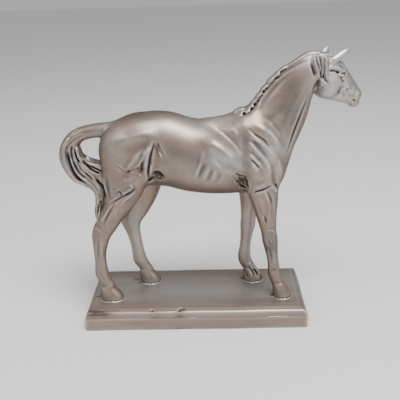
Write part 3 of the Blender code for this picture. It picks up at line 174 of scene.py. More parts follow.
class Turned:
    """Axes turned about the vertical: x forward, y to the off side, z up."""

    def __init__(self, origin, turn):
        self.o = np.array(origin, float)
        self.c = math.cos(math.radians(turn))
        self.s = math.sin(math.radians(turn))

    def into(self, x, y, z):
        x, y = x - self.o[0], y - self.o[1]
        return x * self.c + y * self.s, -x * self.s + y * self.c, z - self.o[2]

    def out(self, p):
        x = self.o[0] + p[:, 0] * self.c - p[:, 1] * self.s
        y = self.o[1] + p[:, 0] * self.s + p[:, 1] * self.c
        return np.stack([x, y, self.o[2] + p[:, 2]], 1)


BODY = Turned((0, 0, 0), 0)
HEAD = Turned((87.3, 4.0, 172.0), 27)   # origin at the poll, turned to the off side


class Clay:
    def __init__(self, low, high, cell):
        self.low = np.array(low, float)
        self.cell = cell
        self.count = np.ceil((np.array(high, float) - self.low) / cell).astype(int) + 1
        self.field = np.full(self.count, FAR, np.float32)

    def axes(self, first, last):
        x, y, z = (self.low[k] + self.cell * np.arange(first[k], last[k]) for k in range(3))
        return x[:, None, None], y[None, :, None], z[None, None, :]

    def window(self, low, high):
        first = np.floor((np.array(low) - self.low) / self.cell).astype(int)
        last = np.ceil((np.array(high) - self.low) / self.cell).astype(int) + 1
        first = np.clip(first, 0, self.count)
        last = np.clip(last, 0, self.count)
        where = tuple(slice(a, b) for a, b in zip(first, last))
        return (where, *self.axes(first, last))

    def join(self, where, form, blend):
        old = self.field[where]
        h = np.clip(0.5 + 0.5 * (old - form) / max(blend, 1e-6), 0, 1)
        self.field[where] = old * (1 - h) + form * h - blend * h * (1 - h)

    def carve(self, where, form, blend):
        old = self.field[where]
        h = np.clip(0.5 - 0.5 * (old + form) / max(blend, 1e-6), 0, 1)
        self.field[where] = old * (1 - h) - form * h + blend * h * (1 - h)

    def softened(self, sigma):
        """The field after a Gaussian blur."""
        reach = int(math.ceil(2.3 * sigma / self.cell))
        steps = np.arange(-reach, reach + 1)
        weight = np.exp(-0.5 * (steps * self.cell / sigma) ** 2)
        weight = (weight / weight.sum()).astype(np.float32)
        field = self.field
        for axis in range(3):
            pad = [(0, 0)] * 3
            pad[axis] = (reach, reach)
            wide = np.pad(field, pad, mode="edge")
            total = np.zeros_like(field)
            for k, w in enumerate(weight):
                part = [slice(None)] * 3
                part[axis] = slice(k, k + field.shape[axis])
                total += w * wide[tuple(part)]
            field = total
        return field

    def sample(self, points, field=None):
        field = self.field if field is None else field
        at = np.clip((points - self.low) / self.cell, 0, self.count - 1.001)
        i = at.astype(int)
        w = at - i
        value = 0
        for dx in (0, 1):
            for dy in (0, 1):
                for dz in (0, 1):
                    part = (w[:, 0] if dx else 1 - w[:, 0])
                    part = part * (w[:, 1] if dy else 1 - w[:, 1])
                    part = part * (w[:, 2] if dz else 1 - w[:, 2])
                    value = value + part * field[i[:, 0] + dx, i[:, 1] + dy, i[:, 2] + dz]
        return value


def smooth_path(points, steps):
    """Catmull-Rom curve through rows of numbers."""
    p = np.array(points, float)
    p = np.vstack([2 * p[0] - p[1], p, 2 * p[-1] - p[-2]])
    rows = []
    for i in range(1, len(p) - 2):
        a, b, c, d = p[i - 1], p[i], p[i + 1], p[i + 2]
        for s in range(steps):
            t = s / steps
            rows.append(0.5 * (2 * b + (c - a) * t + (2 * a - 5 * b + 4 * c - d) * t * t
                               + (3 * b - a - 3 * c + d) * t ** 3))
    rows.append(p[-2])
    return np.array(rows)


def ellipsoid_distance(u, v, w, a, b, c):
    near = np.sqrt((u / a) ** 2 + (v / b) ** 2 + (w / c) ** 2)
    slope = np.sqrt((u / (a * a)) ** 2 + (v / (b * b)) ** 2 + (w / (c * c)) ** 2)
    return near * (near - 1) / np.maximum(slope, 1e-4)


def tube_distance(x, y, z, rows):
    best = None
    for p, q in zip(rows[:-1], rows[1:]):
        d = q[:3] - p[:3]
        length = np.linalg.norm(d)
        if length < 1e-6:
            continue
        d = d / length
        side = np.array([0.0, 1.0, 0.0]) - d[1] * d
        if np.linalg.norm(side) < 0.3:
            side = np.array([1.0, 0.0, 0.0]) - d[0] * d
        side /= np.linalg.norm(side)
        up = np.cross(d, side)
        rx, ry, rz = x - p[0], y - p[1], z - p[2]
        along = rx * d[0] + ry * d[1] + rz * d[2]
        t = np.clip(along / length, 0, 1)
        u = rx * up[0] + ry * up[1] + rz * up[2]
        v = rx * side[0] + ry * side[1] + rz * side[2]
        a = p[3] + t * (q[3] - p[3])
        b = p[4] + t * (q[4] - p[4])
        form = ellipsoid_distance(u, v, along - t * length, a, b, 0.5 * (a + b)).astype(np.float32)
        best = form if best is None else np.minimum(best, form)
    return best


def place(clay, where, form, blend, cut):
    if cut:
        clay.carve(where, form, blend)
    else:
        clay.join(where, form, blend)


def tube(clay, rows, blend, steps=4, frame=BODY, cut=False):
    """Tube of elliptical section. Each row: x, y, z, half height in the side plane, half width."""
    rows = smooth_path(rows, steps)
    rows[:, 3:5] = np.maximum(rows[:, 3:5], 0.15)
    reach = rows[:, 3:5].max() + blend + 2
    points = frame.out(rows[:, :3])
    where, x, y, z = clay.window(points.min(0) - reach, points.max(0) + reach)
    if frame is not BODY:
        x, y, z = frame.into(x, y, z)
    place(clay, where, tube_distance(x, y, z, rows), blend, cut)


def ball(clay, centre, radii, blend, turn=0.0, frame=BODY, cut=False):
    """Ellipsoid. turn: degrees in the side plane, front end up."""
    reach = max(radii) + blend + 2
    middle = frame.out(np.array([centre], float))[0]
    where, x, y, z = clay.window(middle - reach, middle + reach)
    if frame is not BODY:
        x, y, z = frame.into(x, y, z)
    x, y, z = x - centre[0], y - centre[1], z - centre[2]
    c, s = math.cos(math.radians(turn)), math.sin(math.radians(turn))
    form = ellipsoid_distance(x * c + z * s, y, z * c - x * s, *radii).astype(np.float32)
    place(clay, where, form, blend, cut)


def pair(clay, centre, radii, blend, turn=0.0, frame=BODY, cut=False):
    for side in (NEAR, OFF):
        ball(clay, (centre[0], side * centre[1], centre[2]), radii, blend, turn, frame, cut)


def line_strength(x, z, points, width, fade):
    """1 on a line of the side plane, falling to 0 over its width and towards its ends."""
    rows = smooth_path(points, 4)
    spans = np.linalg.norm(np.diff(rows, axis=0), axis=1)
    run = np.concatenate([[0], np.cumsum(spans)]) / spans.sum()
    height = 0
    for i in range(len(rows) - 1):
        d = rows[i + 1] - rows[i]
        t = np.clip(((x - rows[i, 0]) * d[0] + (z - rows[i, 1]) * d[1]) / (d @ d), 0, 1)
        away = (x - rows[i, 0] - t * d[0]) ** 2 + (z - rows[i, 1] - t * d[1]) ** 2
        s = run[i] + t * (run[i + 1] - run[i])
        strength = np.clip(np.minimum(s, 1 - s) / fade, 0, 1)
        height = np.maximum(height, strength * np.exp(-away / (width * width)))
    return height


def stroke(clay, side, points, width, depth, frame=BODY, edge=3.0, soft=3.0, fade=0.3):
    """Groove (depth > 0) or ridge (depth < 0) along points of the side plane, on one side."""
    rows = np.array(points, float)
    reach = 2.4 * width + 1
    low, high = rows.min(0) - reach, rows.max(0) + reach
    corners = [[p, lateral, q] for p in (low[0], high[0]) for q in (low[1], high[1])
               for lateral in (side * edge, side * 30)]
    corners = frame.out(np.array(corners))
    where, x, y, z = clay.window(corners.min(0), corners.max(0))
    if frame is not BODY:
        x, y, z = frame.into(x, y, z)
    gate = np.clip((side * y - edge) / soft, 0, 1)
    gate = gate * gate * (3 - 2 * gate)
    clay.field[where] += (depth * line_strength(x, z, points, width, fade) * gate).astype(np.float32)


def find_skin(clay, frame, p, q, side):
    """Lateral place of the surface at a point of the side plane."""
    lateral = side * (27 - np.arange(0, 27, 0.2))
    line = np.stack([np.full_like(lateral, p), lateral, np.full_like(lateral, q)], 1)
    hit = np.flatnonzero(clay.sample(frame.out(line)) < 0)
    return lateral[hit[0]] if len(hit) else side * 0.5


def lock(clay, side, points, frame=BODY, sink=0.35, blend=0.3, flat=0.9, crown=0.0):
    """A lock of hair laid on the skin. Each point: place in the side plane and radius.

    crown: how far above its first point the lock starts, near the middle of the head.
    """
    rows = smooth_path(points, 4)
    lateral = np.array([find_skin(clay, frame, p, q, side) for p, q, r in rows])
    lateral = np.convolve(np.pad(lateral, 2, mode="edge"), np.ones(5) / 5, mode="valid")
    r = np.maximum(rows[:, 2], 0.2)
    full = np.stack([rows[:, 0], lateral - side * r * sink, rows[:, 1], r, flat * r], 1)
    if crown:
        x, y, z, a, b = full[0]
        start = [(x, 0.25 * y, z + crown, 0.7 * a, b), (x, 0.7 * y, z + 0.7 * crown, 0.9 * a, b)]
        full = np.vstack([start, full])
    tube(clay, full, blend, steps=1, frame=frame)


# The horse's big forms


def torso(clay):
    tube(clay, [(-44, 0, 110.5, 22.0, 18), (-32, 0, 110.6, 25.5, 19.5), (-20, 0, 110.2, 26.5, 20),
                (-10, 0, 107.8, 25.6, 21), (0, 0, 105.1, 25.8, 22), (12, 0, 103.7, 26.2, 22),
                (24, 0, 104.0, 27.0, 20.5), (36, 0, 105.5, 28.0, 18), (46, 0, 106, 26, 15.5)], 0)
    pair(clay, (-36, 6.5, 111), (20, 13.5, 22.3), 5, turn=10)
    pair(clay, (-48.4, 6.5, 108.4), (14.2, 11, 17), 4, turn=12)
    ball(clay, (50.6, 0, 100.4), (13.6, 16, 20), 6, turn=-15)
    pair(clay, (56.4, 6.8, 96.2), (8.5, 8.3, 12.3), 2.5, turn=-10)
    tube(clay, [(12, 0, 125.4, 5, 5), (24, 0, 127.2, 5, 4.5), (34, 0, 129.8, 5.5, 4.5),
                (42, 0, 132.5, 6, 5)], 5)
    pair(clay, (-26, 12.5, 119.5), (5, 5.5, 4.5), 4)
    for side in (NEAR, OFF):
        tube(clay, [(36, side * 8, 124, 7, 7), (43, side * 9.5, 116, 7.5, 7.5),
                    (50, side * 10.5, 108, 7.5, 7.5), (55.5, side * 10.5, 101, 7, 7.2)], 3)
    pair(clay, (42.5, 12.2, 99), (7.6, 6.8, 15.5), 3, turn=-6)
    pair(clay, (22, 14.5, 108), (15, 7, 8.5), 4, turn=-38)


def neck(clay):
    tube(clay, [(44, 0, 112, 25, 17), (50, 0, 118.3, 22.6, 15.0), (56, 0.3, 124.8, 19.8, 12.2),
                (63.6, 1.2, 135.7, 16.6, 9.8), (70.3, 2.2, 149.0, 13.2, 8.3),
                (77.5, 3.2, 158.4, 11.0, 7.6), (84.5, 4, 163.2, 9.6, 7.4)], 5)


# Leg stations: x, z, half height in the side plane, half width; then the hoof's top and sole.
# The lateral place runs from the first number to the second down the leg.
LEGS = {
    "near hind": (-9.0, -12.5, [
        (-37, 111, 19, 11.5), (-43, 103, 18.3, 11.8), (-46.0, 94, 15.8, 11), (-47.3, 85, 13.2, 9),
        (-50.8, 75.8, 10.0, 6.8), (-56.0, 67.6, 8.2, 5.4), (-61.9, 58.9, 7.8, 4.8),
        (-66.0, 51.5, 6.9, 4.6), (-67.4, 44, 5.6, 4.3), (-68.3, 35.5, 4.5, 3.5),
        (-68.4, 27, 4.5, 3.5), (-68.3, 20.5, 5.2, 4.1), (-66.6, 15.2, 4.7, 4.0),
        (-64.3, 10.4, 4.8, 4.3)], [(-65.9, 9, 4.2, 4.6), (-62.2, 0, 8.0, 6.3)]),
    "off hind": (9.0, 13.0, [
        (-35, 111, 19, 11.5), (-37.5, 103, 18, 11.5), (-37.1, 93, 15.9, 11), (-37.0, 84, 14.4, 9),
        (-39.0, 74, 12.4, 7.2), (-43.3, 63, 10.4, 5.6), (-48.0, 52.2, 8.1, 4.9),
        (-46.9, 43.0, 5.7, 4.3), (-45.4, 33.5, 4.9, 3.6), (-44.3, 25, 5.0, 3.7),
        (-43.4, 18.5, 5.5, 4.2), (-40.5, 13.2, 4.8, 4.0), (-38, 9, 4.9, 4.3)],
        [(-39.6, 8.6, 4.6, 4.7), (-36.2, 0, 7.9, 6.3)]),
    "near fore": (-10.0, -12.5, [
        (49, 97, 13, 9.0), (48.5, 84, 11.2, 7.8), (50.0, 73, 9.3, 6.7), (51.4, 62, 7.1, 5.4),
        (53.0, 51.5, 5.6, 4.8), (53.9, 45, 5.7, 5.2), (54.8, 39, 5.0, 4.4), (56.1, 29.3, 4.2, 3.4),
        (56.9, 22.5, 4.5, 3.9), (57.5, 17.2, 4.7, 4.2), (59.4, 11.2, 4.3, 4.0)],
        [(60.6, 8.6, 4.5, 4.7), (63.3, 0, 6.6, 6.3)]),
    "off fore": (10.0, 13.0, [
        (44, 95, 13, 9.0), (42.5, 82, 11, 7.8), (42.0, 71, 8.9, 6.6), (41.0, 60, 6.9, 5.3),
        (40.1, 52, 5.7, 4.9), (39.7, 46, 5.9, 5.2), (38.8, 39, 4.8, 4.3), (37.8, 29.3, 4.3, 3.4),
        (37.0, 21, 5.0, 4.0), (37.5, 16.0, 5.0, 4.2), (40.1, 11.2, 4.8, 4.1)],
        [(41.2, 8.2, 5.0, 4.8), (43.5, 0, 7.1, 6.3)]),
}


def legs(clay):
    for first, last, stations, foot in LEGS.values():
        rows = []
        for k, (x, z, a, b) in enumerate(stations):
            rows.append((x, first + (last - first) * min(1.0, k / 3), z, a, b))
        tube(clay, rows, 4)


def hooves(clay):
    for first, last, stations, ((x0, z0, a0, b0), (x1, z1, a1, b1)) in LEGS.values():
        tube(clay, [(x0, last, z0, a0, b0),
                    (0.5 * (x0 + x1) + 0.2, last, 0.5 * (z0 + z1), 0.5 * (a0 + a1), 0.5 * (b0 + b1)),
                    (x1, last, z1, a1, b1), (x1 + 0.6, last, -2.0, a1, b1)], 0.7, steps=3)


# Head and face, in the head's own axes


def skull(clay):
    tube(clay, [(1, 0, -9.5, 8.2, 6.6), (6, 0, -11.5, 9.5, 7.6), (11.5, 0, -15, 8.9, 7.9),
                (16.8, 0, -19.1, 7.7, 6.6), (22.2, 0, -23.8, 6.6, 5.2), (27.2, 0, -29.0, 6.0, 4.7),
                (28.9, 0, -33.2, 5.3, 4.5)], 3, frame=HEAD)
    pair(clay, (4.6, 3.4, -20.5), (9.2, 5.0, 9.6), 1.2, frame=HEAD)
    tube(clay, [(3, 0, -24.4, 6.2, 4.5), (11, 0, -28.2, 4.9, 3.8), (19, 0, -31.4, 3.7, 3.3),
                (24, 0, -34.0, 3.1, 3.2)], 2.0, frame=HEAD)


def muzzle(clay):
    pair(clay, (29.2, 2.6, -31.2), (4.0, 2.9, 4.8), 1.2, turn=-40, frame=HEAD)
    ball(clay, (29.4, 0, -36.6), (4.2, 3.7, 3.0), 1.0, turn=-4, frame=HEAD)


def eyes(clay):
    for s in (NEAR, OFF):
        tube(clay, [(9.4, 5.8 * s, -12.6, 0.9, 1.2), (12.2, 6.9 * s, -12.4, 1.1, 1.4),
                    (15.2, 6.7 * s, -13.0, 1.0, 1.3), (17.2, 5.8 * s, -15.2, 0.7, 0.9)], 0.8, frame=HEAD)
        ball(clay, (13.3, 6.0 * s, -15.2), (2.0, 2.0, 1.6), 0.25, turn=-25, frame=HEAD)
        tube(clay, [(10.2, 6.4 * s, -16.2, 0.6, 0.9), (12.6, 7.2 * s, -17.6, 0.75, 0.9),
                    (15.4, 6.9 * s, -17.8, 0.7, 0.9), (17.0, 6.2 * s, -16.8, 0.5, 0.7)], 0.4, frame=HEAD)


# Lines of the face in the head's side plane: points, width, depth
FACE = [
    ([(5.0, -13.4), (9.2, -18.4), (11.6, -22.0), (11.2, -25.6)], 2.0, -0.35),
    ([(16.6, -19.6), (19.6, -23.4), (22.6, -27.0)], 1.2, -0.7),
    ([(8.0, -13.5), (10.9, -16.2), (13.8, -18.9), (17.0, -21.6)], 0.55, 1.0),
    ([(18.2, -22.6), (15.9, -23.4), (14.5, -25.0), (14.1, -27.4), (13.1, -29.1), (11.8, -30.6)], 0.5, 0.75),
    ([(18.9, -24.9), (19.7, -25.6), (20.6, -27.8)], 0.4, 0.7),
    ([(19.5, -23.8), (20.6, -24.0)], 0.55, -0.9),
    ([(21.0, -24.8), (22.8, -25.3), (24.4, -25.6)], 0.35, 0.7),
    ([(16.6, -24.6), (18.2, -27.0)], 0.8, -0.45),
    ([(15.0, -27.4), (17.0, -30.2)], 0.8, -0.6),
    ([(20.0, -31.6), (21.3, -33.5), (23.4, -35.5), (25.6, -36.8)], 0.45, 0.8),
    ([(21.2, -31.4), (22.8, -32.6), (24.6, -34.3), (26.7, -36.2), (28.4, -37.4)], 0.5, -0.6),
    ([(24.6, -31.0), (27.6, -31.2), (30.2, -34.0)], 0.7, -0.35),
    ([(20, -27.4), (23.5, -29.5), (26.5, -31.0)], 0.9, 0.4),
    ([(10.4, -14.3), (12.6, -13.6), (14.9, -14.2), (16.3, -15.8)], 0.35, 1.1),
    ([(10.8, -15.6), (13.0, -16.9), (15.4, -16.4)], 0.35, 1.0),
    ([(15.7, -17.3), (16.6, -18.3), (17.4, -17.6)], 0.35, 1.0),
    ([(14.4, -14.9), (14.9, -15.5)], 0.4, 0.7),
]


def face(clay):
    for s in (NEAR, OFF):
        for points, width, depth in FACE:
            stroke(clay, s, points, width, depth, frame=HEAD, edge=1.0, soft=2.0)
        ball(clay, (26.9, 4.9 * s, -34.3), (2.2, 1.7, 0.6), 0.25, turn=-41, frame=HEAD, cut=True)


def ears(clay):
    tube(clay, [(2.2, -4.4, -6.8, 2.5, 2.3), (5.6, -5.4, -5.3, 2.8, 2.3), (10, -6.1, -2.9, 2.7, 2.0),
                (14.2, -6.5, -0.5, 2.5, 1.8), (17.0, -6.5, 1.1, 1.9, 1.4)], 0.5, frame=HEAD)
    tube(clay, [(3.9, 4.4, -6, 2.8, 2.4), (5.6, 5.0, -2.5, 3.1, 2.2), (7.6, 5.2, 0.0, 2.6, 1.8),
                (8.9, 5.2, 2.2, 1.2, 1.0)], 0.6, frame=HEAD)
    # shells, open towards the front
    tube(clay, [(9.0, -7.4, -5.6, 0.7, 0.9), (12.4, -7.8, -3.6, 0.9, 1.0), (15.8, -7.8, -1.2, 0.8, 0.9),
                (18.6, -7.4, 0.8, 0.4, 0.6)], 0.5, frame=HEAD, cut=True)
    tube(clay, [(7.4, 7.2, -4.4, 0.7, 0.9), (9.2, 7.0, -1.2, 0.9, 1.0), (9.8, 6.2, 0.8, 0.4, 0.6)],
         0.6, frame=HEAD, cut=True)
    stroke(clay, NEAR, [(1.0, -7.8), (1.6, -4.6), (3.2, -2.4)], 0.5, 1.0, frame=HEAD, edge=2.0, soft=1.5)
    stroke(clay, NEAR, [(2.2, -4.2), (4.2, -5.0), (3.2, -6.8)], 0.4, 0.7, frame=HEAD, edge=2.0, soft=1.5)
    stroke(clay, NEAR, [(4.6, -3.4), (9.0, -1.2), (13.2, 1.3)], 0.45, 0.4, frame=HEAD, edge=3.0, soft=1.5)


# Tail: stations of the core, then locks and gaps on its sides


TAIL = [(-52, 0, 124.8, 5.5, 5), (-61, 0, 124.6, 5.1, 4.7), (-70, 0, 123.6, 4.8, 4.6),
        (-77.4, 0, 121.3, 5.0, 4.8), (-82.9, 0, 116.2, 5.8, 5.0), (-85.3, 0, 109, 6.5, 5.3),
        (-84.0, 0, 102, 7.4, 5.8), (-79.4, 0, 96.4, 8.6, 6.2), (-73.0, 0, 93.2, 9.6, 6.2),
        (-66.8, 0, 88, 8.8, 5.8), (-64.4, -1, 79.5, 5.4, 5), (-66.2, -1, 71, 4.3, 4.0),
        (-68.2, -1, 64.5, 3.5, 3.2), (-69.4, -1, 59.0, 1.9, 1.8)]
TAIL_LOCKS = [
    [(-84.4, 119.6, 1.2), (-87.9, 113.4, 1.9), (-88.7, 106.0, 2.1), (-86.9, 98.4, 2.1), (-83.0, 91.8, 2.0),
     (-78.6, 88.2, 1.6), (-75.4, 86.6, 0.8)],
    [(-83.8, 110.6, 0.7), (-83.2, 105.0, 1.1), (-81.0, 98.4, 1.4), (-77.6, 93.2, 1.4), (-73.4, 89.2, 1.5),
     (-69.6, 85.4, 1.3), (-67.4, 80.6, 1.0)],
    [(-81.6, 111.8, 0.7), (-80.9, 106.5, 1.0), (-78.6, 101.5, 1.2), (-75.8, 97.2, 1.3), (-72.6, 93.1, 1.2),
     (-69.6, 89.9, 1.1), (-67.4, 86.2, 1.0), (-65.8, 80.6, 0.8)],
    [(-79.6, 106.0, 0.7), (-76.6, 100.9, 1.1), (-73.4, 97.4, 1.2), (-69.8, 93.2, 1.1), (-66.9, 88.9, 1.1),
     (-64.9, 83.6, 0.9)],
    [(-78.2, 104.2, 0.6), (-74.4, 100.2, 1.0), (-70.2, 96.6, 1.1), (-65.8, 93.6, 1.0), (-62.8, 90.2, 0.8)],
    [(-76.2, 106.0, 0.6), (-72.6, 103.0, 0.8), (-68.3, 100.2, 0.9), (-63.2, 98.0, 0.8)],
    [(-79.4, 113.0, 0.6), (-78.9, 108.6, 1.0), (-76.2, 104.4, 1.2), (-71.8, 102.2, 1.2), (-68.1, 101.0, 1.2),
     (-62.6, 99.8, 1.1)],
    [(-66.2, 77.6, 0.8), (-68.0, 71.0, 1.1), (-69.3, 65.0, 1.1), (-70.0, 59.8, 0.5)],
    [(-64.4, 77.0, 0.8), (-65.8, 71.0, 1.0), (-66.9, 65.0, 0.8), (-68.2, 60.6, 0.4)],
]
TAIL_GAPS = [
    ([(-85.6, 111.6), (-85.4, 106.1), (-84.0, 99.9), (-81.7, 94.4), (-79.2, 90.8), (-76.0, 88.1)], 0.85, 2.6),
    ([(-82.7, 106.6), (-81.3, 101.0), (-79.2, 96.6), (-76.6, 93.4), (-73.8, 91.0)], 0.45, 1.3),
    ([(-80.8, 106.5), (-77.3, 99.2), (-74.0, 95.2), (-70.5, 91.2), (-67.9, 87.8)], 0.45, 1.3),
    ([(-76.6, 104.6), (-73.3, 101.3), (-69.9, 97.9), (-66.3, 95.6), (-63.2, 94.2)], 0.6, 1.8),
    ([(-76.4, 105.4), (-72.2, 102.0), (-68.1, 99.2), (-63.8, 96.8)], 0.5, 1.5),
    ([(-68.2, 92.0), (-65.5, 88.1), (-63.0, 85.2), (-61.8, 81.1), (-61.9, 76.5)], 0.8, 1.7),
    ([(-81.6, 115.9), (-82.6, 112.6), (-82.9, 108.8), (-82.6, 104.9)], 0.5, 1.2),
    ([(-79.6, 111.6), (-79.4, 107.0), (-77.6, 102.6)], 0.4, 0.9),
    ([(-86.0, 112.7), (-83.7, 116.2), (-80.2, 119.4), (-76.0, 121.4), (-71.2, 122.5)], 0.5, 0.6),
    ([(-81.1, 122.9), (-78.6, 124.7), (-75.6, 126.0)], 0.4, 0.4),
    ([(-65.0, 75.6), (-65.8, 70.5), (-66.5, 66.2)], 0.4, 1.1),
    ([(-67.2, 72.8), (-68.3, 67.6), (-68.9, 63.1)], 0.35, 0.9),
    ([(-64.2, 72.1), (-65.3, 67.0), (-67.2, 61.8)], 0.4, 0.9),
]


def path_direction(path):
    step = np.gradient(path[:, [0, 2]], axis=0)
    return step / np.linalg.norm(step, axis=1)[:, None]


def tail(clay):
    tube(clay, TAIL, 2.0)
    for y in (-3.6, 0, 3.6):
        tube(clay, [(-79.0, y, 113.0, 1.0, 1.2), (-78.2, y, 107.4, 1.5, 1.6), (-75.0, y, 103.2, 1.6, 1.7),
                    (-71.0, y, 101.2, 1.6, 1.7), (-67.0, y, 99.9, 1.6, 1.7), (-61.0, y, 98.6, 1.6, 1.6)], 0.6)
    edge_locks(clay)
    for side in (NEAR, OFF):
        for points in TAIL_LOCKS:
            lock(clay, side, points, sink=0.15)
        for points, width, depth in TAIL_GAPS:
            stroke(clay, side, points, width, depth, edge=0.6, soft=1.4, fade=0.2)


def edge_locks(clay):
    """Locks round the outer and inner edges of the tail, seen from behind and from above."""
    path = smooth_path(TAIL, 8)
    step = path_direction(path)
    rng = np.random.RandomState(4)
    count = len(path)
    for outer in (1, -1):
        for k in range(5):
            lean = math.radians(-52 + 26 * k)
            first = int(count * (0.26 + 0.08 * rng.rand()))
            last = int(count * (0.80 + 0.10 * rng.rand()))
            radius = 1.1 + 0.35 * rng.rand()
            wave = 6 * rng.rand()
            rows = []
            for i in range(first, last + 1, 5):
                t = (i - first) / (last - first)
                a = lean + 0.12 * math.sin(5 * t + wave)
                o = outer * math.cos(a) * 0.93
                x = path[i, 0] - step[i, 1] * o * path[i, 3]
                z = path[i, 2] + step[i, 0] * o * path[i, 3]
                y = path[i, 1] + path[i, 4] * 0.93 * math.sin(a)
                r = radius * (0.4 + 0.6 * min(1, t / 0.2)) * min(1, (1 - t) / 0.15 + 0.3)
                rows.append((x, y, z, r, r))
            tube(clay, rows, 0.3, steps=3)


# Mane, forelock and the locks over the cheek


CREST = [(28.5, 0, 132.5), (34, 0, 135.8), (39, 0, 137.0), (43.5, 0.2, 142.5), (48.5, 0.3, 149.3),
         (54, 0.8, 156.0), (61, 1.6, 162.0), (69, 2.4, 167.0), (77, 3.4, 171.3), (84, 4, 172.7),
         (88, 4.2, 172.6)]
# Lumps of the mane's roots on the near side: place in the side plane and radius
MANE_LUMPS = [
    [(28.0, 132.8, 0.8), (31.3, 135.4, 1.7), (35.0, 136.4, 2.0), (39.2, 136.9, 1.2)],
    [(37.8, 136.8, 0.9), (40.2, 138.2, 1.5), (42.8, 140.0, 0.8)],
    [(40.2, 138.9, 0.8), (42.9, 141.6, 1.6), (45.2, 143.3, 1.5), (47.4, 144.8, 0.7)],
    [(43.9, 143.6, 0.8), (45.9, 145.8, 1.6), (48.2, 147.2, 1.5), (50.2, 149.0, 0.7)],
    [(47.4, 147.4, 0.8), (49.0, 149.8, 1.6), (51.0, 151.6, 1.6), (53.0, 153.2, 0.8)],
    [(51.6, 152.8, 0.8), (53.0, 154.8, 1.6), (55.0, 156.4, 1.7), (57.4, 158.4, 0.8)],
    [(55.2, 157.0, 0.8), (57.6, 158.9, 1.6), (59.9, 160.4, 1.6), (62.0, 162.0, 0.8)],
    [(59.0, 160.3, 0.8), (62.2, 162.6, 1.5), (65.6, 164.5, 0.9)],
    [(64.0, 163.4, 0.8), (68.1, 165.9, 1.3), (72.7, 168.4, 1.5), (77.0, 170.4, 1.4), (81.5, 171.4, 1.0)],
    [(73.5, 169.5, 1.1), (77.2, 171.0, 1.4), (81.0, 172.0, 1.4), (85.5, 172.2, 1.1)],
]
MANE_PITS = [
    ([(35.2, 134.4), (36.8, 135.0)], 0.6, 2.0), ([(40.4, 137.0), (41.8, 138.0)], 0.6, 1.8),
    ([(42.8, 139.4), (43.9, 140.6)], 0.6, 1.8), ([(44.6, 141.7), (46.0, 143.0)], 0.5, 1.0),
    ([(48.8, 147.6), (49.6, 149.2)], 0.6, 1.7), ([(50.4, 149.8), (51.4, 151.0)], 0.5, 1.2),
    ([(56.0, 156.2), (59.9, 157.9)], 0.45, 1.2), ([(60.2, 160.2), (61.6, 161.4)], 0.7, 2.0),
    ([(61.6, 161.4), (64.4, 163.0)], 0.5, 1.4),
]
MANE_HEM = [(31.0, 132.6), (35.5, 133.8), (40.0, 136.0), (44.4, 140.4), (48.0, 145.8), (51.6, 150.0),
            (56.0, 154.8), (61.0, 159.0), (66.0, 162.4), (72.0, 165.8), (78.0, 168.4)]
MANE_FALLS = 24


def mane(clay):
    tube(clay, [(x, y, z - 3.4, 3.0, 3.0) for x, y, z in CREST], 3.0)
    rng = np.random.RandomState(2)
    path = smooth_path(CREST, 8)
    step = path_direction(path)
    for k in range(MANE_FALLS):
        i = int(1 + (len(path) - 14) * (k + 0.4 * rng.rand()) / MANE_FALLS)
        (dx, dz), (x, y, z) = step[i], path[i]
        fall = (6.5 + 3.5 * rng.rand()) * (0.75 + 0.25 * math.sin(math.pi * k / MANE_FALLS))
        back = 0.8 + 1.6 * rng.rand()
        r = 0.85 + 0.35 * rng.rand()
        lock(clay, OFF, [(x, z - 1.6, r), (x + 0.33 * fall * dz, z - 0.33 * fall * dx - 0.6, 1.25 * r),
                         (x + 0.66 * fall * dz - 0.5 * back, z - 0.66 * fall * dx - 1.0, 1.1 * r),
                         (x + fall * dz - back, z - fall * dx - 1.4, 0.4 * r)], sink=0.25)
    for points in MANE_LUMPS:
        y = np.interp([p[0] for p in points], [c[0] for c in CREST], [c[1] for c in CREST])
        tube(clay, [(p, b - 0.5, q, r, 1.15 * r + 0.9) for (p, q, r), b in zip(points, y)], 0.3)
    for points, width, depth in MANE_PITS:
        stroke(clay, NEAR, points, width, depth, edge=-0.6, soft=0.8, fade=0.3)
    stroke(clay, NEAR, MANE_HEM, 0.5, 0.8, edge=0.0, soft=1.0, fade=0.1)
    stroke(clay, NEAR, [(x + 1.4, z - 1.4) for x, z in MANE_HEM[:7]], 1.0, -0.3, edge=0.0, soft=1.0, fade=0.3)


HEAD_LOCKS = [
    [(-6.4, -1.6, 1.0), (-7.4, -4.8, 1.3), (-6.9, -8.6, 1.4), (-5.9, -12.2, 1.2), (-4.6, -15.4, 0.4)],
    [(-4.6, -1.6, 0.9), (-5.0, -6.0, 1.0), (-4.1, -10.5, 1.0), (-3.0, -14.0, 0.8), (-2.2, -16.2, 0.3)],
    [(-2.1, -2.4, 0.9), (-2.8, -7.8, 1.0), (-2.5, -12.6, 1.0), (-1.3, -16.6, 0.8), (0.3, -19.4, 0.3)],
    [(0.3, -3.2, 1.1), (-0.5, -8.2, 1.1), (-0.1, -13.4, 1.1), (1.1, -17.0, 0.8), (3.3, -21.2, 0.3)],
]
BROW_LOCKS = [
    [(0.4, -9.5, 1.2), (4.3, -9.4, 1.5), (8.7, -9.9, 1.8), (12.6, -11.1, 1.3), (16.6, -11.6, 0.9)],
    [(9.6, -6.4, 0.7), (12.8, -8.2, 1.0), (16.0, -10.4, 0.7)],
]
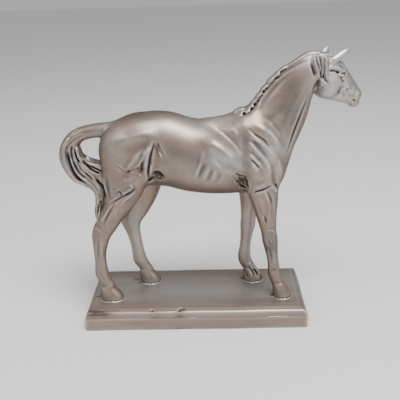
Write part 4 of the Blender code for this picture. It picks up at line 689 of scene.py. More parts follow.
HEAD_GAPS = [
    ([(-8.6, -1.8), (-9.2, -4.2), (-9.2, -6.8), (-8.6, -9.4), (-7.7, -12.2), (-6.7, -14.6)], 0.9, 2.3),
    ([(-6.2, 1.0), (-6.3, -2.8), (-6.2, -5.2), (-5.2, -8.9), (-4.0, -12.6), (-3.2, -15.4)], 0.4, 1.0),
    ([(-3.4, -0.6), (-3.8, -5.0), (-3.6, -8.5), (-3.1, -12.9), (-1.6, -16.9), (-0.6, -19.0)], 0.6, 1.9),
    ([(-0.9, -1.6), (-1.6, -6.0), (-1.7, -9.2), (-1.4, -13.6), (-0.3, -17.0), (2.4, -20.8)], 0.55, 1.7),
    ([(1.7, -5.0), (1.0, -8.4), (1.3, -12.0)], 0.4, 1.0),
    ([(-3.4, -15.6), (-4.2, -17.4), (-5.4, -19.6), (-6.5, -21.9), (-7.1, -24.5)], 0.85, 1.4),
    ([(1.4, -11.9), (3.7, -11.3), (6.5, -11.8), (8.7, -12.9), (10.5, -13.4)], 0.6, 1.3),
    ([(8.2, -12.5), (10.2, -13.1)], 0.9, 1.3),
    ([(9.4, -5.4), (12.8, -7.0), (16.5, -9.7)], 0.4, 1.0),
    ([(9.8, -7.8), (12.4, -9.5), (15.0, -11.0)], 0.4, 1.0),
]


def hair_of_head(clay):
    for side in (NEAR, OFF):
        for points in HEAD_LOCKS:
            lock(clay, side, points, frame=HEAD, sink=0.15, crown=0.7)
        for points in BROW_LOCKS:
            lock(clay, side, points, frame=HEAD)
        for points, width, depth in HEAD_GAPS:
            stroke(clay, side, points, width, depth, frame=HEAD, edge=1.2, soft=1.6, fade=0.2)
    for k in range(7):
        y = -3.0 + 1.0 * k
        r = 0.85 + 0.2 * math.sin(5 * k)
        tube(clay, [(-1, y, -0.9, r, r), (5, 1.1 * y, -1.7, 1.2 * r, 1.1 * r),
                    (11.0, 1.2 * y, -4.0, 1.1 * r, r), (15.6, y, -7.8, r, 0.9 * r),
                    (18.0, 0.8 * y, -11.2 - 0.4 * (k % 3), 0.35, 0.4)], 0.3, frame=HEAD)


# Lines of the body in its side plane: points, width, depth


HIND_QUARTER = [
    ([(-23.3, 121.2), (-24.6, 116.7), (-26.6, 111.1), (-27.8, 105.5), (-29.0, 99.7), (-29.2, 94.6),
      (-30.3, 91.0)], 0.6, 1.8),
    ([(-22.9, 120.0), (-22.4, 114.8), (-21.6, 110.0)], 2.2, 1.7),
    ([(-22.2, 114.2), (-19.2, 110.1)], 0.5, -0.9),
    ([(-21.9, 121.6), (-21.0, 117.3), (-19.3, 114.1), (-17.6, 110.0)], 0.7, 0.6),
    ([(-24.4, 121.6), (-26.6, 116.4), (-28.9, 110.4), (-30.4, 104.4), (-31.2, 98.0)], 1.5, -1.1),
    ([(-26.4, 108.0), (-26.0, 104.4)], 0.45, 0.8),
    ([(-24.6, 109.6), (-26.6, 103.0), (-27.0, 99.4)], 1.2, -0.5),
    ([(-25.9, 97.0), (-24.6, 98.7), (-22.6, 98.9), (-20.6, 97.2), (-18.8, 94.0)], 1.1, 2.2),
    ([(-30.0, 91.2), (-28.0, 93.6), (-26.0, 95.6)], 0.9, 2.0),
    ([(-26.0, 94.4), (-23.6, 96.2), (-21.6, 95.0)], 0.8, -0.9),
    ([(-22.6, 93.6), (-20.4, 93.4)], 0.8, 1.2),
    ([(-50.9, 121.4), (-43.1, 122.8), (-35.2, 124.4), (-27.4, 126.0), (-21.8, 126.2)], 3.0, -0.9),
    ([(-46.0, 114.0), (-39.0, 116.0), (-34.0, 117.6), (-27.5, 120.4)], 5.0, 1.5),
    ([(-26.6, 117.5), (-28.6, 114.8), (-33.5, 108.0), (-36.6, 103.4)], 1.3, -1.2),
    ([(-31.0, 115.6), (-38.5, 108.1), (-44.0, 101.6)], 1.5, -0.9),
    ([(-31.8, 111.4), (-35.8, 105.6)], 1.0, 0.7),
    ([(-31.2, 110.0), (-32.4, 105.0), (-32.6, 99.0)], 1.3, 0.8),
    ([(-50.4, 106.2), (-46.6, 102.9), (-43.2, 100.4)], 0.5, 0.6),
    ([(-43.6, 100.7), (-40.0, 101.9), (-36.9, 103.2)], 0.5, 0.6),
    ([(-42.6, 100.6), (-41.2, 101.2)], 0.9, 0.9),
    ([(-32.6, 107.7), (-33.1, 103.9), (-33.1, 99.2)], 0.5, 0.8),
    ([(-36.9, 103.0), (-34.4, 103.0), (-33.2, 101.0)], 0.9, 0.6),
    ([(-36.6, 100.6), (-34.6, 98.6), (-33.8, 96.8)], 0.9, -0.9),
    ([(-47.0, 96.5), (-42.0, 96.0), (-38.0, 97.6)], 2.2, -0.6),
    ([(-39.6, 93.4), (-38.7, 89.4), (-40.6, 86.5), (-45.8, 83.9), (-51.0, 80.7), (-58.4, 75.5)], 0.5, 1.1),
    ([(-41.6, 92.4), (-40.7, 89.4), (-43.0, 87.6), (-47.4, 85.8)], 0.8, -0.8),
    ([(-40.6, 89.2), (-41.8, 90.2)], 0.5, 0.8),
    ([(-50.9, 85.4), (-49.2, 87.0), (-47.9, 85.6), (-48.2, 83.6), (-49.8, 82.6)], 0.5, 1.0),
    ([(-38.2, 86.2), (-41.6, 83.4), (-45.4, 80.8), (-48.8, 77.8)], 0.9, -0.6),
    ([(-34.7, 81.7), (-41.0, 73.3), (-45.4, 68.4)], 0.9, 0.8),
    ([(-57.5, 98.0), (-57.6, 88.4), (-56.7, 78.6)], 1.8, 1.0),
    ([(-61.0, 99.0), (-60.2, 90.0), (-58.4, 81.0)], 0.9, -0.4),
    ([(-52.4, 79.0), (-57.5, 71.1), (-61.6, 63.8), (-63.4, 58.5)], 0.8, 0.8),
    ([(-48.6, 77.4), (-51.0, 72.4), (-53.4, 68.0)], 0.9, 0.5),
    ([(-54.6, 77.2), (-60.2, 69.6), (-65.2, 62.6)], 0.8, -0.5),
    ([(-46.0, 80.6), (-50.6, 73.6), (-55.6, 66.4)], 1.0, -0.4),
]
SHOULDER = [
    ([(38.0, 127.0), (43.3, 122.8), (48.8, 118.9), (53.6, 113.0)], 0.7, 1.2),
    ([(39.6, 123.4), (47.5, 117.4), (53.6, 111.6), (57.9, 106.4)], 1.6, -1.2),
    ([(36.4, 121.6), (42.7, 116.8), (46.3, 112.8), (50.6, 107.7), (53.0, 104.0)], 1.7, 1.3),
    ([(37.8, 118.6), (42.1, 114.9), (47.5, 109.1), (51.4, 102.9), (52.3, 98.6)], 1.3, -1.1),
    ([(37.2, 114.8), (40.2, 111.4), (44.5, 106.8), (48.6, 102.8)], 1.6, 0.9),
    ([(38.6, 110.4), (42.6, 106.6), (46.6, 102.0)], 1.1, -0.8),
    ([(38.4, 107.8), (41.5, 105.3), (45.1, 101.2), (46.6, 98.4)], 0.8, 0.8),
    ([(39.6, 103.4), (42.4, 101.0), (44.6, 98.2)], 1.4, -0.8),
    ([(40.4, 131.2), (47.0, 126.9), (53.6, 122.3), (58.1, 116.7), (60.6, 109.7)], 3.0, -1.4),
    ([(44.2, 136.0), (50.8, 131.4), (56.9, 124.6), (62.4, 114.6), (63.8, 108.4)], 2.6, 0.9),
    ([(52.6, 108.0), (54.2, 104.0), (55.0, 98.4), (55.2, 92.9), (56.4, 88.1), (58.8, 84.2)], 2.0, 1.6),
    ([(56.2, 88.7), (58.4, 84.6)], 0.5, 0.8),
    ([(58.4, 106.0), (60.2, 98.0), (60.0, 90.0)], 1.8, -0.6),
    ([(35.0, 127.4), (36.1, 120.6), (36.3, 111.5), (37.2, 102.1), (37.7, 94.2)], 2.6, 1.2),
    ([(41.2, 82.0), (44.7, 83.8), (49.0, 85.2), (54.6, 88.3)], 0.5, 1.7),
    ([(41.6, 85.4), (46.0, 87.6), (51.0, 90.6)], 1.4, -0.8),
    ([(42.6, 96.4), (46.4, 93.4), (50.4, 95.4)], 3.6, -0.8),
    ([(54.4, 87.4), (56.8, 84.6), (58.2, 81.6)], 1.2, -0.9),
    ([(50.5, 84.4), (53.0, 79.4), (54.4, 73.6)], 0.9, 0.6),
    ([(48.7, 84.4), (51.2, 79.6), (52.8, 74.6)], 0.8, -0.6),
]
BARREL = [
    ([(5.8, 122.0), (14.4, 119.0), (22.6, 113.2), (28.6, 107.4), (33.0, 101.5)], 4.2, -2.0),
    ([(9.2, 115.4), (12.8, 111.4), (17.1, 107.4), (24.5, 102.6), (31.8, 97.6)], 2.2, 1.1),
    ([(9.7, 127.6), (18.9, 124.6), (24.6, 120.9), (30.4, 115.8), (34.1, 109.0)], 2.4, 1.3),
    ([(24.0, 127.0), (28.6, 125.6), (32.0, 120.6)], 1.6, -0.5),
    ([(10.5, 107.2), (7.3, 101.1), (4.1, 93.3)], 1.3, 0.8),
    ([(14.4, 101.7), (12.4, 96.3), (10.4, 90.7)], 1.3, 0.7),
    ([(19.9, 98.4), (16.8, 90.6)], 1.3, 0.5),
    ([(9.2, 114.9), (7.6, 109.6), (5.0, 102.7), (1.7, 93.3)], 1.4, -0.7),
    ([(12.8, 105.9), (9.8, 97.9), (7.3, 90.8)], 1.3, -0.5),
    ([(16.6, 101.9), (13.9, 91.5)], 1.2, -0.4),
    ([(12.8, 111.0), (16.4, 106.3), (20.0, 102.4)], 1.4, -0.7),
    ([(29.2, 98.0), (32.0, 95.8), (35.8, 94.2)], 0.5, 1.1),
    ([(30.6, 93.2), (34.0, 92.8), (36.6, 90.0)], 0.45, 1.0),
    ([(29.0, 92.4), (31.6, 90.4), (33.8, 86.4), (36.4, 84.6)], 0.55, 1.3),
    ([(35.4, 95.4), (37.2, 89.7), (38.4, 84.0)], 0.6, 1.6),
    ([(31.6, 96.4), (32.4, 92.8), (34.6, 89.4)], 0.45, 1.0),
    ([(34.4, 93.4), (34.8, 89.8), (37.4, 86.6)], 0.5, 1.3),
    ([(31.6, 86.6), (34.6, 86.4), (38.2, 82.8)], 0.6, 1.5),
    ([(34.8, 83.4), (36.6, 81.6), (38.6, 82.4)], 0.6, 1.4),
]
THROAT = [
    ([(84.0, 158.0), (82.8, 154.6), (81.0, 151.0), (78.6, 145.1), (75.8, 138.5), (73.1, 131.9), (70.2, 124.6),
      (66.9, 114.9), (63.8, 104.0)], 0.65, 1.5),
    ([(46.0, 131.0), (52.5, 131.5), (60.0, 137.0), (66.0, 146.0)], 3.0, 0.7),
    ([(79.0, 158.0), (74.0, 148.0), (68.8, 137.4), (63.4, 126.5), (58.0, 117.5)], 2.6, -0.6),
    ([(39.6, 134.6), (45.6, 139.2), (51.6, 146.8), (57.0, 153.6)], 1.6, 0.5),
    ([(51.4, 122.4), (52.4, 121.2)], 0.6, 0.5),
]
# Lines of the legs: side, points, width, depth
LEG_LINES = [
    (NEAR, [(38.7, 81.6), (42, 72.3), (45.4, 62.0), (47.2, 57.0)], 0.7, 0.7),
    (NEAR, [(51.6, 84.6), (53.2, 79.5), (54.6, 71.4), (54.6, 60.2)], 0.9, 0.4),
    (NEAR, [(44.6, 82.0), (47.6, 74.0), (49.8, 64.0)], 1.4, -0.3),
    (NEAR, [(49.2, 66.6), (50.0, 63.0), (50.9, 58.6)], 0.7, 0.7),
    (NEAR, [(48.2, 66.0), (49.0, 62.0), (49.8, 58.6)], 0.5, -0.4),
    (NEAR, [(50.4, 52.4), (52.6, 54.4), (55.6, 53.6), (57.6, 51.0)], 0.8, -0.5),
    (NEAR, [(52.2, 46.6), (53.4, 44.0), (54.8, 43.0)], 0.6, 0.5),
    (NEAR, [(52.8, 41.0), (54.2, 34.0), (55.4, 26.0)], 0.6, 0.5),
    (NEAR, [(55.8, 40.0), (57.0, 33.0), (58.0, 26.0)], 0.8, -0.3),
    (NEAR, [(56.2, 22.8), (57.6, 22.4)], 0.5, 0.7),
    (NEAR, [(57.0, 13.0), (60.0, 11.6), (64.4, 11.0)], 0.5, 0.4),
    (NEAR, [(-71.4, 56.4), (-68.0, 57.8), (-64.8, 55.0)], 1.0, -0.5),
    (NEAR, [(-67.2, 51.0), (-68.9, 42.0), (-69.8, 30.0)], 0.6, 0.6),
    (NEAR, [(-65.0, 50.0), (-66.0, 42.0), (-66.6, 32.0)], 0.8, -0.35),
    (NEAR, [(-69.6, 22.0), (-67.4, 18.6), (-65.0, 15.4)], 0.6, 0.4),
    (NEAR, [(-70.0, 11.6), (-66.4, 11.8), (-62.0, 12.6)], 0.5, 0.4),
    (OFF, [(34.4, 79.0), (37.0, 70.0), (38.8, 60.0)], 0.7, 0.6),
    (OFF, [(41.8, 84.0), (44.4, 76.0), (45.4, 66.0)], 0.7, 0.6),
    (OFF, [(38.0, 40.0), (37.8, 33.0), (37.0, 26.0)], 0.6, 0.5),
    (OFF, [(-42.4, 78.0), (-46.0, 69.0), (-49.2, 60.0)], 0.8, 0.7),
    (OFF, [(-50.0, 50.0), (-48.0, 41.0), (-47.0, 31.0)], 0.6, 0.6),
    (OFF, [(37.6, 12.6), (40.6, 11.6), (44.0, 11.0)], 0.5, 0.4),
    (OFF, [(-45.0, 12.4), (-41.4, 11.8), (-37.6, 11.8)], 0.5, 0.4),
]
# The off fore hoof is roughly cast on the side that faces the near side
ROUGH_HOOF = [
    ([(39.0, 15.0), (43.0, 12.8), (46.6, 8.4), (49.6, 3.2)], 0.5, -1.0),
    ([(38.6, 12.0), (42.0, 9.6), (44.2, 5.4), (44.6, 2.0)], 0.6, 1.3),
    ([(43.4, 10.6), (45.8, 6.6), (47.4, 2.6)], 0.5, 1.1),
    ([(40.6, 8.6), (41.8, 5.0), (41.8, 1.6)], 0.5, -0.9),
    ([(37.2, 8.6), (38.8, 5.4), (39.0, 1.6)], 0.5, 1.0),
    ([(36.4, 11.6), (39.6, 10.8)], 0.5, 0.8),
    ([(41.0, 12.4), (44.4, 8.2)], 0.5, -0.7),
]


def muscles(clay):
    for side in (NEAR, OFF):
        for points, width, depth in HIND_QUARTER + SHOULDER + BARREL + THROAT:
            stroke(clay, side, points, width, depth)
    for side, points, width, depth in LEG_LINES:
        stroke(clay, side, points, width, depth, edge=12.0, soft=1.5)
    for points, width, depth in ROUGH_HOOF:
        x, z = np.array(points).T
        where, x, y, z = clay.window((x.min() - 2, 4, z.min() - 2), (x.max() + 2, 12.5, z.max() + 2))
        gate = np.clip((12.5 - y) / 1.5, 0, 1)
        clay.field[where] += (depth * line_strength(x, z, points, width, 0.3) * gate).astype(np.float32)


def sculpt(cell):
    clay = Clay((-96, -24, -3), (124, 30, 178), cell)
    torso(clay)
    neck(clay)
    legs(clay)
    skull(clay)
    clay.field = clay.softened(1.1)
    hooves(clay)
    muzzle(clay)
    eyes(clay)
    muscles(clay)
    face(clay)
    tail(clay)
    mane(clay)
    hair_of_head(clay)
    ears(clay)
    z = clay.low[2] + clay.cell * np.arange(clay.count[2])
    clay.field = np.maximum(clay.field, -z.astype(np.float32)[None, None, :])
    return clay


# From clay to mesh


def surface(field, low, cell):
    """Quads of the surface where the field is zero, one corner in each crossed cell."""
    inside = field < 0
    cells = tuple(n - 1 for n in field.shape)
    total = np.zeros(cells, np.int8)
    for i in (0, 1):
        for j in (0, 1):
            for k in (0, 1):
                total += inside[i:i + cells[0], j:j + cells[1], k:k + cells[2]]
    used = (total > 0) & (total < 8)
    where = np.argwhere(used)
    place_sum = np.zeros((len(where), 3))
    crossings = np.zeros(len(where))
    for axis in range(3):
        for i in (0, 1):
            for j in (0, 1):
                a = [i, j]
                a.insert(axis, 0)
                b = list(a)
                b[axis] = 1
                fa = field[tuple((where + a).T)]
                fb = field[tuple((where + b).T)]
                crossed = (fa < 0) != (fb < 0)
                t = np.where(crossed, fa / np.where(crossed, fa - fb, 1), 0)
                crossings += crossed
                for m in range(3):
                    place_sum[:, m] += np.where(crossed, t if m == axis else a[m], 0)
    index = np.full(cells, -1, np.int32)
    index[used] = np.arange(len(where))
    points = (where + place_sum / crossings[:, None]) * cell + low
    faces = []
    for axis in range(3):
        one, two = [k for k in range(3) if k != axis]
        sa = [slice(1, n - 1) for n in field.shape]
        sb = list(sa)
        sa[axis] = slice(0, cells[axis])
        sb[axis] = slice(1, cells[axis] + 1)
        a, b = inside[tuple(sa)], inside[tuple(sb)]
        for leaving in (False, True):
            cross = np.argwhere((a & ~b) if leaving else (~a & b))
            cross[:, one] += 1
            cross[:, two] += 1
            corners = []
            for s1, s2 in ((0, 0), (-1, 0), (-1, -1), (0, -1)):
                c = cross.copy()
                c[:, one] += s1
                c[:, two] += s2
                corners.append(index[c[:, 0], c[:, 1], c[:, 2]])
            quads = np.stack(corners, 1)
            faces.append(quads if leaving == (axis != 1) else quads[:, ::-1])
    return points, np.vstack(faces)


def largest_piece(points, faces):
    """Drop loose crumbs and closed-in bubbles."""
    label = np.arange(len(points))
    while True:
        before = label.copy()
        least = label[faces].min(1)
        for k in range(4):
            np.minimum.at(label, faces[:, k], least)
        label = label[label]
        if (label == before).all():
            break
    names, sizes = np.unique(label, return_counts=True)
    keep = label == names[sizes.argmax()]
    renumber = np.cumsum(keep) - 1
    return points[keep], renumber[faces[keep[faces[:, 0]]]]


# How the masks of patina, worn edges, painted shade and painted highlight read the clay, in millimetres:
# three blurs, then where each mask starts and how fast it fills
BLURS = (0.8, 2.0, 4.2)
CREASE_START, CREASE_SPAN = 0.11, 0.32
VALLEY_SPAN, SWELL_SPAN, EDGE_SPAN = 0.70, 0.50, 0.14


def wear(clay, points, tones):
    """Masks from 0 to 1: brown patina in the creases; painted shade in the broad valleys and the regions
    given as darker; worn fine edges, with painted highlight on the broad swells and the regions given as
    lighter.
    """
    fine, middle, broad = (clay.sample(points, clay.softened(s)) for s in BLURS)
    lie = middle - 0.23 * broad
    # Regions painted lighter (painted highlight) or darker (painted shade) for how the light falls on them
    brighter = stains(points, [(c, r, s) for c, r, s in tones if s > 0])
    duller = stains(points, [(c, r, -s) for c, r, s in tones if s < 0])
    tone = brighter - duller
    crease = np.clip((-fine - CREASE_START) / CREASE_SPAN, 0, 1)
    # Painted shade: darkening in the valleys of the broad form and in the regions given as darker
    shade = np.clip(np.clip(-lie / VALLEY_SPAN, 0, 1) + np.maximum(-tone, 0), 0, 1)
    # Worn fine edges, plus painted highlight on the broad swells and in the regions given as lighter
    edge = np.clip((fine - 0.16 * middle) / EDGE_SPAN, 0, 1)
    ridge = 0.55 * edge + 0.35 * np.clip(lie / SWELL_SPAN, 0, 1)
    return {"hollow": crease, "shade": shade, "ridge": np.clip(ridge + np.maximum(tone, 0), 0, 1)}


def add_mesh(name, points, faces, masks, facets):
    mesh = bpy.data.meshes.new(name)
    mesh.vertices.add(len(points))
    mesh.vertices.foreach_set("co", points.astype(np.float32).ravel())
    mesh.loops.add(4 * len(faces))
    mesh.loops.foreach_set("vertex_index", faces.astype(np.int32).ravel())
    mesh.polygons.add(len(faces))
    mesh.polygons.foreach_set("loop_start", np.arange(0, 4 * len(faces), 4, dtype=np.int32))
    mesh.update(calc_edges=True)
    mesh.validate()
    for key, values in masks.items():
        layer = mesh.attributes.new(key, "FLOAT", "POINT")
        layer.data.foreach_set("value", values.astype(np.float32))
    ob = bpy.data.objects.new(name, mesh)
    bpy.context.collection.objects.link(ob)
    if 2 * len(faces) > facets:
        thin = ob.modifiers.new("fewer facets", "DECIMATE")
        thin.ratio = facets / (2 * len(faces))
        bpy.context.view_layer.update()
        shown = ob.evaluated_get(bpy.context.evaluated_depsgraph_get())
        fewer = bpy.data.meshes.new_from_object(shown)
        ob.modifiers.clear()
        ob.data = fewer
        fewer.name = name
    ob.data.polygons.foreach_set("use_smooth", np.ones(len(ob.data.polygons), bool))
    return ob


def blot(points, centre, reach):
    d = (points - np.array(centre, float)) / np.array(reach, float)
    return np.exp(-(d ** 2).sum(1))


# Stains: centre and reach in the drawing, strength
WARM_PLACES = [
    ((-52, 0, 116), (16, 30, 18), 1.1), ((-70, 0, 118), (24, 12, 18), 0.55),
    ((-45, 0, 90), (22, 30, 18), 0.3), ((46, 0, 139), (10, 14, 12), 0.65),
    ((56, 0, 152), (12, 14, 10), 0.4), ((54, -12, 50), (9, 9, 34), 0.5), ((46, 0, 78), (10, 30, 10), 0.25),
    ((-60, -12, 70), (10, 12, 14), 0.35), ((0, 0, 88), (40, 40, 8), 0.1), ((30, 0, 131), (14, 20, 8), 0.1),
]
COOL_PLACES = [
    ((102, 0, 158), (24, 30, 24), 1.0), ((14, 0, 108), (22, 40, 16), 0.35), ((-22, 0, 128), (18, 30, 8), 0.5),
    ((58, 0, 112), (14, 30, 16), 0.3), ((-40, 0, 104), (12, 40, 10), 0.15),
]
# Brown stains in the pits and folds, partly painted shade: the gap between the tail and the hind leg, and
# under the jaw
DARK_PLACES = [
    ((33.8, -18, 90.4), (4.6, 9, 6.8), 1.0), ((-23, -18, 96), (5.0, 9, 4.0), 0.8),
    ((-34.5, -19, 102.0), (3.8, 9, 3.6), 0.75), ((-42, -19, 100.6), (3.0, 9, 2.4), 0.75),
    ((-24, -18, 108), (3.6, 9, 8), 0.35), ((-40, -18, 88), (3.5, 9, 3.0), 0.4),
    ((-49.5, -18, 85), (3.0, 9, 2.4), 0.4), ((-62, 0, 80), (3.6, 9, 9), 0.55),
    ((-70, 0, 98), (9, 9, 8), 0.2), ((-61, 0, 123), (6, 8, 3), 0.25), ((54.5, -13, 39), (2.6, 5, 9), 0.35),
    ((50.2, -18, 62), (1.2, 4, 3.4), 0.55), ((56.6, -16, 22.5), (1.6, 4, 1.4), 0.45),
    ((33.5, 18, 91), (4.2, 9, 6.5), 0.6), ((-23, 18, 95), (5.0, 9, 3.4), 0.5),
    ((87.4, -4, 150.6), (3.0, 8, 4.4), 0.65), ((85.2, -3, 152), (2.6, 7, 5), 0.75),
    ((36, 13, 12), (4, 8, 6), 0.45), ((91.6, -6, 153.4), (1.6, 6, 2.2), 0.4),
    ((100.4, -3, 159), (2.2, 6, 1.6), 0.4), ((-22.3, -18, 115.5), (1.6, 9, 4), 0.6),
    ((111, 0, 137), (5, 8, 2.6), 0.3), ((84, -4, 165), (4, 6, 8), 0.2), ((35, 13, 88), (4, 10, 5), 0.5),
]
# Painted highlight (+) and painted shade (-): where the silver is painted lighter or darker than elsewhere
# for how the light falls on each region, partly an uneven cast of the paint
TONE_PLACES = [
    ((68, 0, 141), (16, 30, 18), -0.75), ((54, -12, 32), (12, 12, 30), -0.3),
    ((-68, -12, 34), (12, 12, 26), 0.05), ((-48, 0, 88), (18, 40, 16), -0.35),
    ((-33, 0, 115), (9, 40, 6), -0.6), ((-10, 0, 108), (14, 40, 14), -0.45),
    ((0, 0, 92), (26, 40, 8), 0.15), ((102, 0, 158), (23, 30, 27), 1.3),
    ((-52, 0, 118), (15, 30, 14), 0.55), ((-42, 14, 40), (10, 8, 36), 0.65),
    ((22, 0, 109), (11, 40, 8), 0.9), ((54, 0, 112), (11, 30, 14), 0.75), ((10, 0, 130), (30, 30, 7), 0.55),
    ((38, 14, 44), (10, 8, 40), 0.5), ((-82, 0, 100), (14, 20, 22), -0.45),
]


def stains(points, places):
    total = np.zeros(len(points))
    for centre, reach, strength in places:
        total = np.maximum(total, strength * blot(points, centre, reach))
    return total


# Paint


def shader_group(name, inputs, outputs):
    group = bpy.data.node_groups.new(name, "ShaderNodeTree")
    for label, kind, default in inputs:
        socket = group.interface.new_socket(label, in_out="INPUT", socket_type=kind)
        if default is not None:
            socket.default_value = default
    for label, kind in outputs:
        group.interface.new_socket(label, in_out="OUTPUT", socket_type=kind)
    start = group.nodes.new("NodeGroupInput")
    end = group.nodes.new("NodeGroupOutput")
    return group, start, end


def math_node(tree, operation, *values, clamp=False):
    node = tree.nodes.new("ShaderNodeMath")
    node.operation = operation
    node.use_clamp = clamp
    for socket, value in zip(node.inputs, values):
        if isinstance(value, (int, float)):
            socket.default_value = value
        else:
            tree.links.new(value, socket)
    return node.outputs[0]


def mix_colours(tree, factor, a, b):
    node = tree.nodes.new("ShaderNodeMix")
    node.data_type = "RGBA"
    for socket, value in ((node.inputs["Factor"], factor), (node.inputs[6], a), (node.inputs[7], b)):
        if isinstance(value, (int, float)):
            socket.default_value = value
        elif isinstance(value, (tuple, list)):
            socket.default_value = value
        else:
            tree.links.new(value, socket)
    return node.outputs[2]


def noise_node(tree, vector, scale, detail, roughness=0.55):
    node = tree.nodes.new("ShaderNodeTexNoise")
    node.inputs["Scale"].default_value = scale
    node.inputs["Detail"].default_value = detail
    node.inputs["Roughness"].default_value = roughness
    tree.links.new(vector, node.inputs["Vector"])
    return node.outputs["Fac"]


# Noise of the paint: scale per metre, detail, roughness
CLOUDS = (38, 3, 0.55)
SPECKS = (420, 4, 0.65)
BRUSHED = (150, 4, 0.6)
PATCHES = (62, 6, 0.72)


def antique_paint_group():
    """Silver paint over a casting: warm and cool silver, brown patina in the hollows and brown stains,
    painted shade in the valleys, the deep gaps and the darker regions, worn edges and painted highlight on
    the ridges, swells and lighter regions.
    """
    colour, number, vector = "NodeSocketColor", "NodeSocketFloat", "NodeSocketVector"
    group, start, end = shader_group(
        "Antiqued silver",
        [("Vector", vector, None), ("Silver", colour, (0.5, 0.5, 0.5, 1)),
         ("Champagne", colour, (0.5, 0.4, 0.3, 1)), ("Dull", colour, (0.2, 0.17, 0.16, 1)),
         ("Wash", colour, (0.05, 0.03, 0.02, 1)), ("Rubbed", colour, (0.8, 0.8, 0.8, 1)),
         ("Warmth", number, 0.0), ("Hollow", number, 0.0), ("Shade", number, 0.0), ("Ridge", number, 0.0),
         ("Stain", number, 0.0), ("Satin", number, 0.4), ("Flake", number, 0.7)],
        [("Colour", colour), ("Roughness", number), ("Metallic", number), ("Height", number)])
    given = start.outputs
    cloud, speck, brush, patch = (noise_node(group, given["Vector"], *kind)
                                  for kind in (CLOUDS, SPECKS, BRUSHED, PATCHES))
    cast = math_node(group, "MULTIPLY_ADD", cloud, 0.9, 0.5)
    warmth = math_node(group, "ADD", given["Warmth"], cast, clamp=True)
    base = mix_colours(group, warmth, given["Silver"], given["Champagne"])
    # Painted shade: the shade mask, mottled, with random thin patches of paint, mixes towards the darker
    # silver
    mottle = math_node(group, "MULTIPLY_ADD", patch, 1.9, 0.02)
    thin = math_node(group, "MULTIPLY_ADD", patch, 2.2, -0.92, clamp=True)
    dull = math_node(group, "ADD", math_node(group, "MULTIPLY", given["Shade"], mottle), thin, clamp=True)
    base = mix_colours(group, dull, base, given["Dull"])
    ragged = math_node(group, "MULTIPLY_ADD", brush, 1.3, 0.42)
    dark = math_node(group, "MULTIPLY", given["Hollow"], ragged, clamp=True)
    # Brown stains from the places mask, partly painted shade in the deep gaps
    patchy = math_node(group, "MULTIPLY_ADD", speck, 4.6, -1.2)
    patchy = math_node(group, "MAXIMUM", patchy, 0.65)
    dark = math_node(group, "MAXIMUM", dark, math_node(group, "MULTIPLY", given["Stain"], patchy, clamp=True))
    # Worn edges and painted highlight: the ridge mask mixes towards the bright silver
    uneven = math_node(group, "MULTIPLY_ADD", brush, 1.0, 0.2)
    bright = math_node(group, "MULTIPLY", given["Ridge"], uneven, clamp=True)
    base = mix_colours(group, bright, base, given["Rubbed"])
    group.links.new(mix_colours(group, dark, base, given["Wash"]), end.inputs["Colour"])
    rough = math_node(group, "MULTIPLY_ADD", brush, 0.16, given["Satin"])
    rough = math_node(group, "ADD", rough, math_node(group, "MULTIPLY", dark, 0.25), clamp=True)
    group.links.new(rough, end.inputs["Roughness"])
    clean = math_node(group, "SUBTRACT", 1.0, math_node(group, "MULTIPLY", dark, 0.85))
    group.links.new(math_node(group, "MULTIPLY", given["Flake"], clean), end.inputs["Metallic"])
    strokes = math_node(group, "MULTIPLY", brush, 0.65)
    height = math_node(group, "ADD", math_node(group, "MULTIPLY", speck, 0.35), strokes)
    group.links.new(height, end.inputs["Height"])
    return group


# Darkening at a slant: partly the metal flake's own change, partly a painted shade along the outline where a
# dark surround would be reflected
SLANT_BLEND = 0.27           # how early a slanted view dulls the metal flake
BUMP_STRENGTH = 0.35
HORSE_BUMP, PLINTH_BUMP = 0.00008, 0.00014
PLINTH_DULLING, PLINTH_ALONG = 0.45, 0.16


